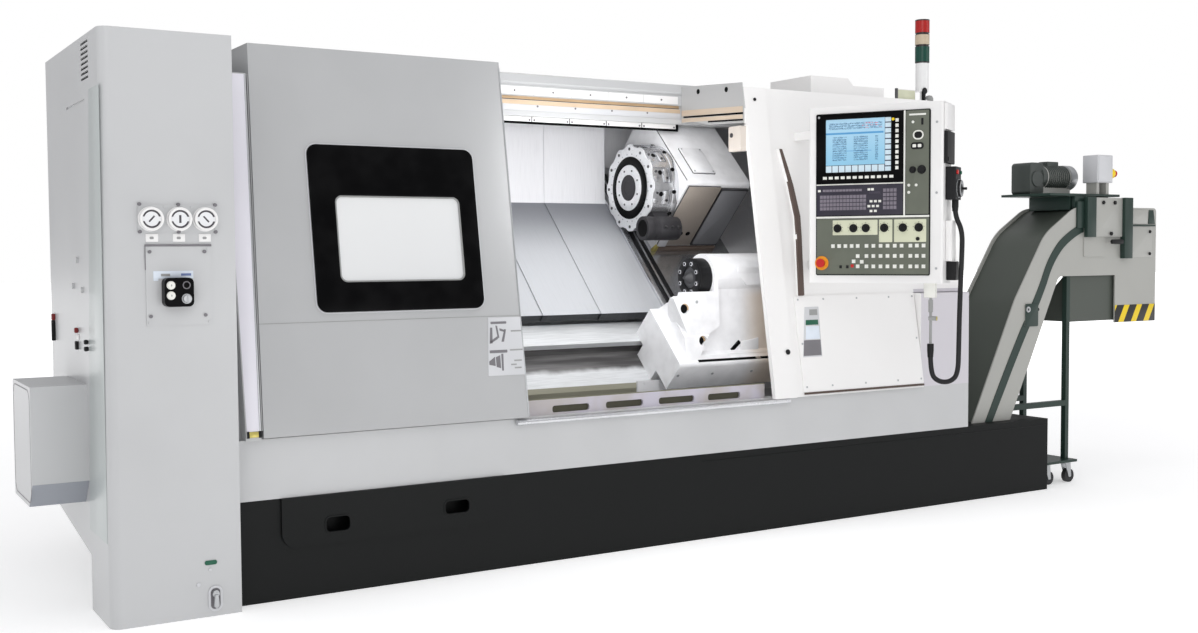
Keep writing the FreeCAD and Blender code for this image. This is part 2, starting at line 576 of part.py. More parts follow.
def hose():
    """Round tube along straight runs joined by tangent arcs."""
    points = [V(*point) for point in HOSE_ROUTE]
    edges = []
    start = points[0]
    length = 0.0
    radii = []
    for before, here, after in zip(points, points[1:], points[2:]):
        back = (before - here)
        ahead = (after - here)
        shorter = min(back.Length, ahead.Length)
        back.normalize()
        ahead.normalize()
        half_turn = (math.pi - back.getAngle(ahead)) / 2.0
        reach = 0.45 * shorter
        radius = reach / math.tan(half_turn)
        radii.append(round(radius, 1))
        bend_in = here + back * reach
        bend_out = here + ahead * reach
        middle = here + (back + ahead).normalize() * (radius / math.cos(half_turn) - radius)
        edges.append(Part.LineSegment(start, bend_in).toShape())
        edges.append(Part.Arc(bend_in, middle, bend_out).toShape())
        start = bend_out
    edges.append(Part.LineSegment(start, points[-1]).toShape())
    path = Part.Wire(edges)
    length = path.Length
    ring = Part.Wire(Part.Circle(points[0], points[1] - points[0], HOSE_R).toShape())
    body = path.makePipeShell([ring], True, False, 2)
    section = math.pi * HOSE_R ** 2
    print("hose radii", radii)
    print("hose volume / section*length = %.5f" % (body.Volume / (section * length)))
    return on_panel(body)


# ---- chip conveyor -----------------------------------------------------------------------
def trunk_outline(inset):
    """Side of the conveyor trunk: up the incline, round the bend and along the head."""
    low = 4.0 if inset else 0.0
    return [(4423 + inset, PLINTH_TOP + low), (4716 - inset, PLINTH_TOP + low),
            (5098 - inset, 1163 + inset, 40), (5580 + inset, 1163 + inset), (5580 + inset, 890 + inset),
            (TRUNK_RIGHT - inset, 890 + inset), (TRUNK_RIGHT - inset, 1550 - inset, 24),
            (5230 + inset, 1550 - inset, 200), (4985 + inset, 1400 - inset, 300),
            (4746 + inset, 1040 - inset, 300)]


def conveyor():
    plates = []
    for y in (TRUNK_NEAR, TRUNK_FAR - 8):
        plate = prism_y(trunk_outline(0), y, y + 8)
        plates.append(plate)
    lug = prism_y(rectangle(4822, 4924, 893, 1016, 8), TRUNK_NEAR - 6, TRUNK_NEAR)
    lug = lug.fuse(tube((4842, TRUNK_NEAR - 6, 986), (0, -1, 0), 15, 7, 5))
    guard = prism_y(rectangle(5300, 5480, 1270, 1460, 10), TRUNK_NEAR - 6, TRUNK_NEAR)
    plates[0] = plates[0].fuse(lug).fuse(guard)
    add("conveyor_plates", *plates)
    body = prism_y(trunk_outline(14), TRUNK_NEAR + 8, TRUNK_FAR - 8)
    chute = prism_x([(170, 1177), (200, 1177), (450, 930), (450, 905), (170, 905)], 5218, 5594)
    trunk = body.fuse(chute).cut(box(5620, 5910, 178, 487, 880, 1380))
    add("conveyor_trunk", trunk.cut(plates[0]).cut(plates[1]))

    posts = []
    for y in (166, 463):
        post = box(5185, 5213, y, y + 30, 132, 1170)
        brace = box(4700, 5185, y, y + 30, 435, 465)
        posts.append(post.fuse(brace).cut(body).cut(plates[0]).cut(plates[1]))
    frame = box(4985, 5245, 130, 510, 118, 132)
    for post in posts:
        frame = frame.fuse(post)
    for x in (5030, 5200):
        frame = frame.fuse(rod((x, 475, 0), (0, 0, 1), 28, 12))
        frame = frame.fuse(rod((x, 475, 12), (0, 0, 1), 8, 106))
    add("conveyor_leg", frame)
    for number, x in ((1, 5030), (2, 5200)):
        caster(number, x, 175)

    shelf = box(5030, 5620, 160, 500, 1612, 1622)
    shelf = shelf.fuse(box(5230, 5560, 190, 470, 1536, 1612))
    motor = rod((5165, 385, 1725), (1, 0, 0), 66, 295)
    motor = motor.fuse(box(5240, 5330, 355, 415, 1780, 1812))
    motor = motor.fuse(box(5200, 5430, 350, 420, 1622, 1680))
    gear = prism_y(rectangle(5055, 5165, 1622, 1800, 20), 320, 450)
    case = prism_y(rectangle(5430, 5557, 1692, 1845, 6), 160, 260)
    for x in (5440, 5523):
        case = case.fuse(box(x, x + 24, 175, 245, 1622, 1692))
    case = case.fuse(rod((5557, 190, 1745), (1, 0, 0), 26, 30))
    case = case.cut(rod((5574, 190, 1745), (1, 0, 0), 11.4, 14))
    add("conveyor_drive", shelf, motor, gear, case)
    add("conveyor_estop", mushroom((5585, 190, 1745), (1, 0, 0), 20))


def caster(number, x, y):
    """Swivel fork and wheel with the wheel trailing behind the swivel axis."""
    axle_x = x + 20
    top = rod((x, y, 108), (0, 0, 1), 26, 9.7)
    fork = top
    for side in (-1, 1):
        inner = y + side * 14
        outer = y + side * 18
        low, high = min(inner, outer), max(inner, outer)
        cheek = prism_y([(x - 18, 110), (x + 24, 110), (axle_x + 10, 30, 6), (axle_x - 10, 30, 6)],
                        low, high)
        fork = fork.fuse(cheek)
    fork = fork.fuse(box(x - 18, x + 24, y - 18, y + 18, 106, 110))
    fork = fork.fuse(rod((axle_x, y - 18, 37.5), (0, 1, 0), 5, 36))
    add("caster_fork_%d" % number, fork)
    wheel = rod((axle_x, y - 13, 37.5), (0, 1, 0), 37.5, 26)
    wheel = wheel.cut(rod((axle_x, y - 20, 37.5), (0, 1, 0), 5.05, 40))
    add("caster_wheel_%d" % number, wheel)


# ---- build and export --------------------------------------------------------------------
def build():
    cabinet()
    base()
    rear_housing()
    bed()
    spindle()
    way_covers()
    saddle()
    cross_slide()
    turret()
    tailstock()
    doors()
    sill()
    right_end()
    signal_tower()
    control_panel()
    conveyor()


def export():
    bounds = Part.makeCompound(list(NODES.values())).optimalBoundingBox(False)
    move = V(-(bounds.XMin + bounds.XMax) / 2, -(bounds.YMin + bounds.YMax) / 2, -bounds.ZMin)
    print("shift %.4f %.4f %.4f" % (move.x, move.y, move.z))
    print("size %.1f %.1f %.1f" % (bounds.XLength, bounds.YLength, bounds.ZLength))
    os.makedirs("parts", exist_ok=True)
    for name, shape in NODES.items():
        moved = shape.copy()
        moved.translate(move)
        moved.exportStep("parts/%s.step" % name)
    print("nodes", len(NODES))


build()
export()
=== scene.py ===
"""Looks of a slant-bed CNC turning lathe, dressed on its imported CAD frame.

Each sub-assembly of the machine is a class that holds its sizes and builds its own pieces.
Sizes are metres in the shop frame (X along the machine from the left side of its cabinet,
Y from its front to the rear, Z up from the floor), which ShopFrames turns into the row frame.
"""

from __future__ import annotations

import logging
import math
from dataclasses import dataclass
from enum import Enum
from typing import Callable, Sequence, Union

import bmesh
import bpy
from mathutils import Matrix, Vector


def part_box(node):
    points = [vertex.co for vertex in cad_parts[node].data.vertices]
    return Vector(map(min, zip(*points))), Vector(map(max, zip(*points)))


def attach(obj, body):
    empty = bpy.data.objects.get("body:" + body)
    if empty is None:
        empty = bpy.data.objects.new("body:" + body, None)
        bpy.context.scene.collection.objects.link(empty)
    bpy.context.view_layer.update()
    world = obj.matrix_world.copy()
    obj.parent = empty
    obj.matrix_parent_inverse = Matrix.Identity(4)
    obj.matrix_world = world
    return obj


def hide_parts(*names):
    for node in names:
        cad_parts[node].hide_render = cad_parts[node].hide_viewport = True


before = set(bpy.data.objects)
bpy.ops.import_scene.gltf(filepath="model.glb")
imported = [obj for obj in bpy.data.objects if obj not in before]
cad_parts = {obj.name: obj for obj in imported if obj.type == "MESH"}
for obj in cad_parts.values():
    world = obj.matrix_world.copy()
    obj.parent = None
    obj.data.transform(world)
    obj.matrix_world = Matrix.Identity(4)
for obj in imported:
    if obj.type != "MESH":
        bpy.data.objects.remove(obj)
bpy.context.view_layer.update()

logging.basicConfig(level=logging.INFO, format="%(name)s: %(message)s")
LOG = logging.getLogger("lathe")

Point = Sequence[float]
Colour = tuple[float, float, float]
Scalar = Union[float, "Field"]

PLINTH_CORNER = (0.460, 0.0775, 0.0)  # left front corner of the plinth in the shop frame
LEAN = 9.5  # degrees by which the door and the front panels lean back
LEAN_FOOT = 0.620  # height at which that lean begins
SPINDLE_AXIS = (0.420, 1.187)  # Y and Z of the spindle's axis
BED_SLANT = 45.0  # degrees by which the bed's slides are tipped
PANEL_TURN = 59.6  # degrees by which the control panel faces away from the front
GAP = 0.0003  # clearance between a thin piece and the face under it
TIGHT = 0.0002  # the same on the cabinet and on the door
HANDWHEEL = (0.095, 1.588)  # its centre on the control panel's side
HOSE_FITTING = (0.554, 0.060, 0)  # axis of the fitting under the control panel
GAUGE_Z = 1.439
GAUGES = ((0.161, 0.9), (0.259, 0.0), (0.350, -0.9))  # place of each dial and lean of its hand
SHARP = 35.0  # degrees past which an edge is bevelled
POINTED = 1e-6  # radius under which a turned profile ends in a point
STUD_SIDES = 16
CAP_LIFT = 0.6  # share of its corner by which a key's top stands up
SMOOTH = 32.0  # degrees up to which an edge is shaded smooth


def srgb(red: float, green: float, blue: float) -> Colour:
    """Turn a colour of 0 to 255 steps into linear light.

    Args:
        red: Red step.
        green: Green step.
        blue: Blue step.

    Returns:
        The same colour as linear values.
    """

    def linear(step: float) -> float:
        """Linear value of one step."""
        value = step / 255.0
        return value / 12.92 if value <= 0.04045 else ((value + 0.055) / 1.055) ** 2.4

    return (linear(red), linear(green), linear(blue))


class ShopFrames:
    """Places of the machine's own working frames in the row frame."""

    def __init__(self) -> None:
        """Find the shop frame from the plinth's known corner."""
        low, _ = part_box("plinth_tank")
        self.shop = Matrix.Translation(Vector(low) - Vector(PLINTH_CORNER))
        self.slant = self._turned((0, 0.04, LEAN_FOOT), -LEAN, "X")
        self.bed = self._turned((0, *SPINDLE_AXIS), BED_SLANT, "X")
        self.panel = self._turned((3.13, -0.04, 0), -PANEL_TURN, "Z")

    def _turned(self, origin: Point, angle: float, about: str) -> Matrix:
        """Shop frame moved to an origin and turned about one of its axes."""
        turn = Matrix.Rotation(math.radians(angle), 4, about)
        return self.shop @ Matrix.Translation(origin) @ turn

    @staticmethod
    def up(height: float) -> float:
        """Distance up the leaning front at which it reaches a height."""
        return (height - LEAN_FOOT) / math.cos(math.radians(LEAN))


FRAMES = ShopFrames()


class Axis(Enum):
    """Direction along which an outline is carried or a profile is turned."""

    X = 0
    Y = 1
    Z = 2

    def lay(self, first: float, second: float, along: float) -> tuple[float, float, float]:
        """Put an outline's two values and its place along the axis into a point."""
        if self is Axis.X:
            return (along, first, second)
        if self is Axis.Y:
            return (first, along, second)
        return (first, second, along)


X, Y, Z = Axis


# ---- shader maths and finishes -----------------------------------------------------------
def add_node(tree: bpy.types.NodeTree, kind: str, settings: dict[str, object] | None = None,
             sockets: dict | None = None) -> bpy.types.Node:
    """Add one node to a tree.

    Args:
        tree: Tree that gets the node.
        kind: Type of the node.
        settings: Its own settings, made first; "stops" are those of a colour ramp.
        sockets: Values, fields or sockets for its inputs, by name or number.

    Returns:
        The new node.
    """
    made = tree.nodes.new(kind)
    for name, value in (settings or {}).items():
        if name == "stops":
            for element, (position, colour) in zip(made.color_ramp.elements, value):
                element.position = position
                element.color = (*colour, 1.0)
        else:
            setattr(made, name, value)
    for key, value in (sockets or {}).items():
        feed(tree, made.inputs[key], value)
    return made


def feed(tree: bpy.types.NodeTree, target: bpy.types.NodeSocket, value: object) -> None:
    """Give an input a plain value, a field or another node's output."""
    source = value.socket if isinstance(value, Field) else value
    if isinstance(source, bpy.types.NodeSocket):
        tree.links.new(source, target)
    else:
        target.default_value = source


def by_math(operation: str) -> Callable[..., "Field"]:
    """Make a field's operator or method that adds one Math node."""

    def work(self: "Field", *others: Scalar) -> "Field":
        """Work on this field and up to two more values."""
        return self.made(
            "ShaderNodeMath", {"operation": operation}, dict(enumerate((self, *others))))

    return work


class Field:
    """A value that changes over a surface, held by a socket and worked on with operators."""

    def __init__(self, shader: "Shader", socket: bpy.types.NodeSocket) -> None:
        """Wrap one socket of a shader."""
        self.shader = shader
        self.socket = socket

    def __rsub__(self, other: float) -> "Field":
        """Difference from a number."""
        return (self * -1.0) + other

    __add__ = __radd__ = by_math("ADD")
    __sub__ = by_math("SUBTRACT")
    __mul__ = __rmul__ = by_math("MULTIPLY")
    __truediv__ = by_math("DIVIDE")
    __gt__ = by_math("GREATER_THAN")
    __lt__ = by_math("LESS_THAN")
    size = by_math("ABSOLUTE")
    root = by_math("SQRT")
    part = by_math("FRACT")
    most = by_math("MAXIMUM")

    def within(self, low: float, high: float) -> "Field":
        """One between two numbers, else nought."""
        return (self > low) * (self < high)

    def ramp(self, low: float, high: float) -> "Field":
        """Rise smoothly from nought at low to one at high."""
        return self.made("ShaderNodeMapRange", {"interpolation_type": "SMOOTHSTEP"},
                         {0: self, 1: low, 2: high, 3: 0.0, 4: 1.0})

    def made(self, kind: str, settings: dict[str, object], sockets: dict) -> "Field":
        """Field from the first output of a new node."""
        return Field(self.shader, self.shader.node(kind, settings, sockets).outputs[0])


class Shader:
    """One material under construction."""

    def __init__(self, name: str) -> None:
        """Start an empty material with its surface shader."""
        self.material = bpy.data.materials.new(name)
        self.material.use_nodes = True
        self.tree = self.material.node_tree
        self.tree.nodes.clear()
        self.surface = self.tree.nodes.new("ShaderNodeBsdfPrincipled")
        output = self.tree.nodes.new("ShaderNodeOutputMaterial")
        self.tree.links.new(self.surface.outputs[0], output.inputs[0])
        self.place = self.node("ShaderNodeTexCoord", {}, {}).outputs["Object"]

    def node(self, kind: str, settings: dict[str, object], sockets: dict) -> bpy.types.Node:
        """Add one node to the material."""
        return add_node(self.tree, kind, settings, sockets)

    def axes(self, place: Matrix | None = None) -> tuple[Field, Field, Field]:
        """Split the surface's place into three fields, in one of the machine's frames.

        Args:
            place: Frame in which the values are wanted, or the row frame.

        Returns:
            Fields of X, Y and Z in metres.
        """
        source = self.place
        if place is not None:
            back = place.inverted()
            source = self.node(
                "ShaderNodeMapping", {"vector_type": "POINT"},
                {"Vector": self.place, "Location": back.to_translation(),
                 "Rotation": back.to_euler()}).outputs[0]
        split = self.node("ShaderNodeSeparateXYZ", {}, {0: source})
        return tuple(Field(self, split.outputs[index]) for index in range(3))

    def noise(self, scale: float, detail: float = 2.0, stretch: Point = (1, 1, 1)) -> Field:
        """Soft random field of a given scale, drawn out along axes by small stretch values."""
        source = self.place
        if tuple(stretch) != (1, 1, 1):
            source = self.node("ShaderNodeMapping", {"vector_type": "POINT"},
                               {"Vector": self.place, "Scale": tuple(stretch)}).outputs[0]
        made = self.node("ShaderNodeTexNoise", {"noise_dimensions": "3D"},
                         {"Vector": source, "Scale": scale, "Detail": detail})
        return Field(self, made.outputs["Fac"])

    def blend(self, mask: Field, base: object, over: object) -> bpy.types.NodeSocket:
        """Lay one colour over another by a mask of nought to one."""
        return self.node("ShaderNodeMix", {"data_type": "RGBA"},
                         {0: mask, 6: self._rgba(base), 7: self._rgba(over)}).outputs[2]

    @staticmethod
    def _rgba(value: object) -> object:
        """Give a plain colour its fourth value."""
        return (*value, 1.0) if isinstance(value, tuple) and len(value) == 3 else value

    def dress(self, **sockets: object) -> bpy.types.Material:
        """Feed the surface shader.

        Args:
            **sockets: Input names, with _ for a space, and their values or fields.

        Returns:
            The finished material.
        """
        for name, value in sockets.items():
            feed(self.tree, self.surface.inputs[name.replace("_", " ")], self._rgba(value))
        return self.material

    def raise_by(self, height: Field, distance: float, strength: float = 1.0) -> None:
        """Bump the surface by a field, in metres."""
        made = self.node(
            "ShaderNodeBump", {}, {"Height": height, "Distance": distance, "Strength": strength})
        self.tree.links.new(made.outputs[0], self.surface.inputs["Normal"])


@dataclass(frozen=True)
class Paint:
    """Sprayed enamel with its orange peel and slight unevenness."""

    name: str
    colour: Colour
    roughness: float = 0.34
    peel: float = 0.00004
    coat: float = 0.15
    shine: float = 0.5

    def make(self) -> bpy.types.Material:
        """Build the material."""
        shader = Shader(self.name)
        cloud = shader.noise(1.7, 3.0)
        fine = shader.noise(260.0, 1.0)
        darker = tuple(value * 0.955 for value in self.colour)
        lighter = tuple(min(1.0, value * 1.02) for value in self.colour)
        shader.raise_by(fine, self.peel)
        return shader.dress(
            Base_Color=shader.blend(cloud.ramp(0.3, 0.7), darker, lighter),
            Roughness=cloud * 0.06 + (fine * 0.05 + (self.roughness - 0.055)),
            Coat_Weight=self.coat, Coat_Roughness=0.18, Specular_IOR_Level=self.shine)


@dataclass(frozen=True)
class Brushed:
    """Sheet or ground metal with fine lines along one axis."""

    name: str
    colour: Colour
    roughness: float = 0.3
    stretch: Point = (0.02, 1.0, 1.0)
    metallic: float = 0.9
    smudge: float = 0.1

    def make(self) -> bpy.types.Material:
        """Build the material."""
        shader = Shader(self.name)
        lines = shader.noise(420.0, 2.0, self.stretch)
        cloud = shader.noise(3.1, 3.0)
        dark = tuple(value * 0.86 for value in self.colour)
        tone = lines * 0.6 + cloud * 0.4
        shader.raise_by(lines, 0.00003)
        return shader.dress(
            Base_Color=shader.blend(tone.ramp(0.3, 0.7), dark, self.colour),
            Roughness=lines * 0.12 + (cloud * self.smudge + (self.roughness - 0.1)),
            Metallic=self.metallic)


@dataclass(frozen=True)
class Cast:
    """Filled and painted casting, softer and lumpier than sheet."""

    name: str
    colour: Colour
    roughness: float = 0.42
    lumps: float = 0.0006
    metallic: float = 0.0

    def make(self) -> bpy.types.Material:
        """Build the material."""
        shader = Shader(self.name)
        broad = shader.noise(14.0, 3.0)
        fine = shader.noise(330.0, 2.0)
        dark = tuple(value * 0.9 for value in self.colour)
        shader.raise_by(broad * 0.8 + fine * 0.2, self.lumps, 0.7)
        return shader.dress(
            Base_Color=shader.blend(broad.ramp(0.25, 0.7), dark, self.colour),
            Roughness=fine * 0.1 + (self.roughness - 0.05), Metallic=self.metallic)


@dataclass(frozen=True)
class Moulded:
    """Moulded plastic or rubber with a fine grain."""

    name: str
    colour: Colour
    roughness: float = 0.5
    grain: float = 0.00005
    coat: float = 0.0
    shine: float = 0.35

    def make(self) -> bpy.types.Material:
        """Build the material."""
        shader = Shader(self.name)
        grain = shader.noise(700.0, 2.0)
        cloud = shader.noise(9.0, 2.0)
        light = tuple(min(1.0, value * 1.12 + 0.003) for value in self.colour)
        shader.raise_by(grain, self.grain)
        return shader.dress(
            Base_Color=shader.blend(cloud.ramp(0.35, 0.75), self.colour, light),
            Roughness=grain * 0.12 + (self.roughness - 0.06), Coat_Weight=self.coat,
            Specular_IOR_Level=self.shine)


@dataclass(frozen=True)
class Patterned:
    """Finish whose colour follows the machine's own layout, drawn by a function."""

    name: str
    draw: Callable[[Shader], object]
    roughness: float = 0.4
    metallic: float = 0.0
    grain: float = 0.00003
    glow: float = 0.0

    def make(self) -> bpy.types.Material:
        """Build the material."""
        shader = Shader(self.name)
        grain = shader.noise(500.0, 2.0)
        shader.raise_by(grain, self.grain)
        colour = self.draw(shader)
        extra = {"Emission_Color": colour, "Emission_Strength": self.glow} if self.glow else {}
        return shader.dress(
            Base_Color=colour, Roughness=grain * 0.1 + (self.roughness - 0.05),
            Metallic=self.metallic, **extra)


class Finishes:
    """The machine's finishes, each built once when first asked for."""

    def __init__(self) -> None:
        """Start with none built."""
        self._made: dict[str, bpy.types.Material] = {}

    def get(self, finish: Paint | Brushed | Cast | Moulded | Patterned) -> bpy.types.Material:
        """Give a finish's material."""
        if finish.name not in self._made:
            self._made[finish.name] = finish.make()
        return self._made[finish.name]


FINISHES = Finishes()


# ---- mesh making -------------------------------------------------------------------------
def rounded(
        x0: float, x1: float, z0: float, z1: float, radius: float, steps: int = 6) -> list[tuple]:
    """Outline of a rectangle with round corners.

    Args:
        x0: Left.
        x1: Right.
        z0: Bottom.
        z1: Top.
        radius: Corner radius.
        steps: Steps in each corner.

    Returns:
        Points round the outline.
    """
    points = []
    corners = ((x1 - radius, z0 + radius, -90), (x1 - radius, z1 - radius, 0),
               (x0 + radius, z1 - radius, 90), (x0 + radius, z0 + radius, 180))
    for cx, cz, start in corners:
        for step in range(steps + 1):
            angle = math.radians(start + 90 * step / steps)
            points.append((cx + radius * math.cos(angle), cz + radius * math.sin(angle)))
    return points


def circle(cx: float, cz: float, radius: float, steps: int = 32, start: float = 0.0) -> list[tuple]:
    """Points round a circle from a start angle in degrees."""
    angles = [math.radians(start + 360 * step / steps) for step in range(steps)]
    return [(cx + radius * math.cos(angle), cz + radius * math.sin(angle)) for angle in angles]


class Maker:
    """Collects shapes in one of the machine's frames and turns them into a piece."""

    def __init__(self, name: str, place: Matrix = FRAMES.shop) -> None:
        """Start an empty piece.

        Args:
            name: Name of the piece.
            place: Frame in which its shapes are given.
        """
        self.name = name
        self.place = place
        self.mesh = bmesh.new()
        self.index = 0

    def colour(self, index: int) -> "Maker":
        """Choose which of the piece's finishes the next shapes get."""
        self.index = index
        return self

    def _take(self, part: bmesh.types.BMesh, bevel: float = 0.0, segments: int = 2) -> "Maker":
        """Bevel a shape's sharp edges and add it to the piece."""
        bmesh.ops.recalc_face_normals(part, faces=part.faces)
        if bevel > 0:
            sharp = [edge for edge in part.edges if len(edge.link_faces) == 2
                     and edge.calc_face_angle(0.0) > math.radians(SHARP)]
            bmesh.ops.bevel(part, geom=sharp, offset=bevel, segments=segments, profile=0.5,
                            affect="EDGES", clamp_overlap=True)
        for face in part.faces:
            face.material_index = self.index
        held = bpy.data.meshes.new("part")
        part.to_mesh(held)
        part.free()
        self.mesh.from_mesh(held)
        bpy.data.meshes.remove(held)
        return self

    def prism(self, outline: Sequence[Point], axis: Axis, start: float, end: float,
              bevel: float = 0.0, segments: int = 2) -> "Maker":
        """Carry a flat outline along an axis as a closed solid."""
        part = bmesh.new()
        low = [part.verts.new(axis.lay(p[0], p[1], start)) for p in outline]
        high = [part.verts.new(axis.lay(p[0], p[1], end)) for p in outline]
        part.faces.new(low)
        part.faces.new(list(reversed(high)))
        count = len(outline)
        for index in range(count):
            after = (index + 1) % count
            part.faces.new((low[after], low[index], high[index], high[after]))
        return self._take(part, bevel, segments)

    def block(self, low: Point, high: Point, bevel: float = 0.0, segments: int = 2) -> "Maker":
        """Add a block between two corners with its edges rounded."""
        outline = [(low[0], low[1]), (high[0], low[1]), (high[0], high[1]), (low[0], high[1])]
        return self.prism(outline, Z, low[2], high[2], bevel, segments)

    def plate(self, x0: float, x1: float, z0: float, z1: float, radius: float, start: float,
              end: float, bevel: float = 0.0004, axis: Axis = Y) -> "Maker":
        """Carry a round-cornered rectangle along an axis."""
        return self.prism(rounded(x0, x1, z0, z1, radius), axis, start, end, bevel)

    def ring(self, centre: Point, outer: float, inner: float, axis: Axis, start: float, end: float,
             bevel: float = 0.0, steps: int = 40) -> "Maker":
        """Carry a round ring along an axis."""
        return self.frame(
            circle(*centre, outer, steps), circle(*centre, inner, steps), axis, start, end, bevel)

    def frame(self, outer: Sequence[Point], inner: Sequence[Point], axis: Axis, start: float,
              end: float, bevel: float = 0.0, segments: int = 2) -> "Maker":
        """Carry a ring between two outlines of equal point count along an axis."""
        part = bmesh.new()
        rings = [[part.verts.new(axis.lay(p[0], p[1], along)) for p in outline] for outline,
                 along in ((outer, start), (outer, end), (inner, end), (inner, start))]
        count = len(outer)
        for index in range(count):
            after = (index + 1) % count
            for here, there in zip(rings, rings[1:] + rings[:1]):
                part.faces.new((here[index], here[after], there[after], there[index]))
        return self._take(part, bevel, segments)

    def turned(
            self, profile: Sequence[Point], centre: Point, axis: Axis, steps: int = 48) -> "Maker":
        """Turn a profile of (place along the axis, radius) round an axis; its ends are closed."""
        part = bmesh.new()
        rings = []
        for along, radius in profile:
            if radius < POINTED:
                rings.append([part.verts.new(self._round(axis, centre, along, 0.0, 0.0))])
                continue
            rings.append(
                [part.verts.new(self._round(axis, centre, along,
                                            radius * math.cos(2 * math.pi * step / steps),
                                            radius * math.sin(2 * math.pi * step / steps)))
                 for step in range(steps)])
        for here, there in zip(rings, rings[1:]):
            for step in range(steps):
                after = (step + 1) % steps
                corners = [here[step % len(here)], here[after % len(here)],
                           there[after % len(there)], there[step % len(there)]]
                corners = list(dict.fromkeys(corners))
                if len(corners) > 2:
                    part.faces.new(corners)
        for ring in (rings[0], rings[-1]):
            if len(ring) > 2:
                part.faces.new(ring)
        return self._take(part)

    @staticmethod
    def _round(axis: Axis, centre: Point, along: float, first: float, second: float) -> tuple:
        """Point of a turned shape."""
        x, y, z = axis.lay(first, second, along)
        return (centre[0] + x, centre[1] + y, centre[2] + z)

    def rod(self, start: Point, axis: Axis, length: float, radius: float, steps: int = 32,
            edge: float = 0.0) -> "Maker":
        """Add a round bar with its end edges broken."""
        edge = min(edge, radius * 0.4, length * 0.4)
        profile = [(0.0, radius), (length, radius)]
        if edge:
            profile = [(0.0, radius - edge), (edge, radius), (length - edge, radius),
                       (length, radius - edge)]
        return self.turned(profile, start, axis, steps)

    def turn_last(self, matrix: Matrix, since: int) -> None:
        """Move the points added after a count by a matrix."""
        self.mesh.verts.ensure_lookup_table()
        bmesh.ops.transform(self.mesh, matrix=matrix, verts=self.mesh.verts[since:])

    def count(self) -> int:
        """Number of points so far."""
        return len(self.mesh.verts)

    def done(self, finishes: Sequence, slot: str, body: str = "machine") -> bpy.types.Object:
        """Make the piece.

        Args:
            finishes: Its finishes, in the order that colour() counts.
            slot: Material slot of the record, not used.
            body: CAD body that it rides on.

        Returns:
            The new object, at the origin.
        """
        for face in self.mesh.faces:
            face.smooth = True
        for edge in self.mesh.edges:
            edge.smooth = (
                len(edge.link_faces) == 2 and edge.calc_face_angle(math.pi) < math.radians(SMOOTH))
        made = bpy.data.meshes.new(self.name)
        self.mesh.to_mesh(made)
        self.mesh.free()
        made.transform(self.place)
        for finish in finishes:
            made.materials.append(FINISHES.get(finish))
        return settle(made, self.name, body, slot)


def settle(mesh: bpy.types.Mesh, name: str, body: str, slot: str) -> bpy.types.Object:
    """Link a finished mesh as a piece that rides on a body."""
    piece = bpy.data.objects.new(name, mesh)
    bpy.context.scene.collection.objects.link(piece)
    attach(piece, body)
    LOG.info("%s on %s, %d faces", name, body, len(mesh.polygons))
    return piece


class Pattern(Enum):
    """Ways in which a small part repeats."""

    POINTS = "points"
    ROWS = "rows"


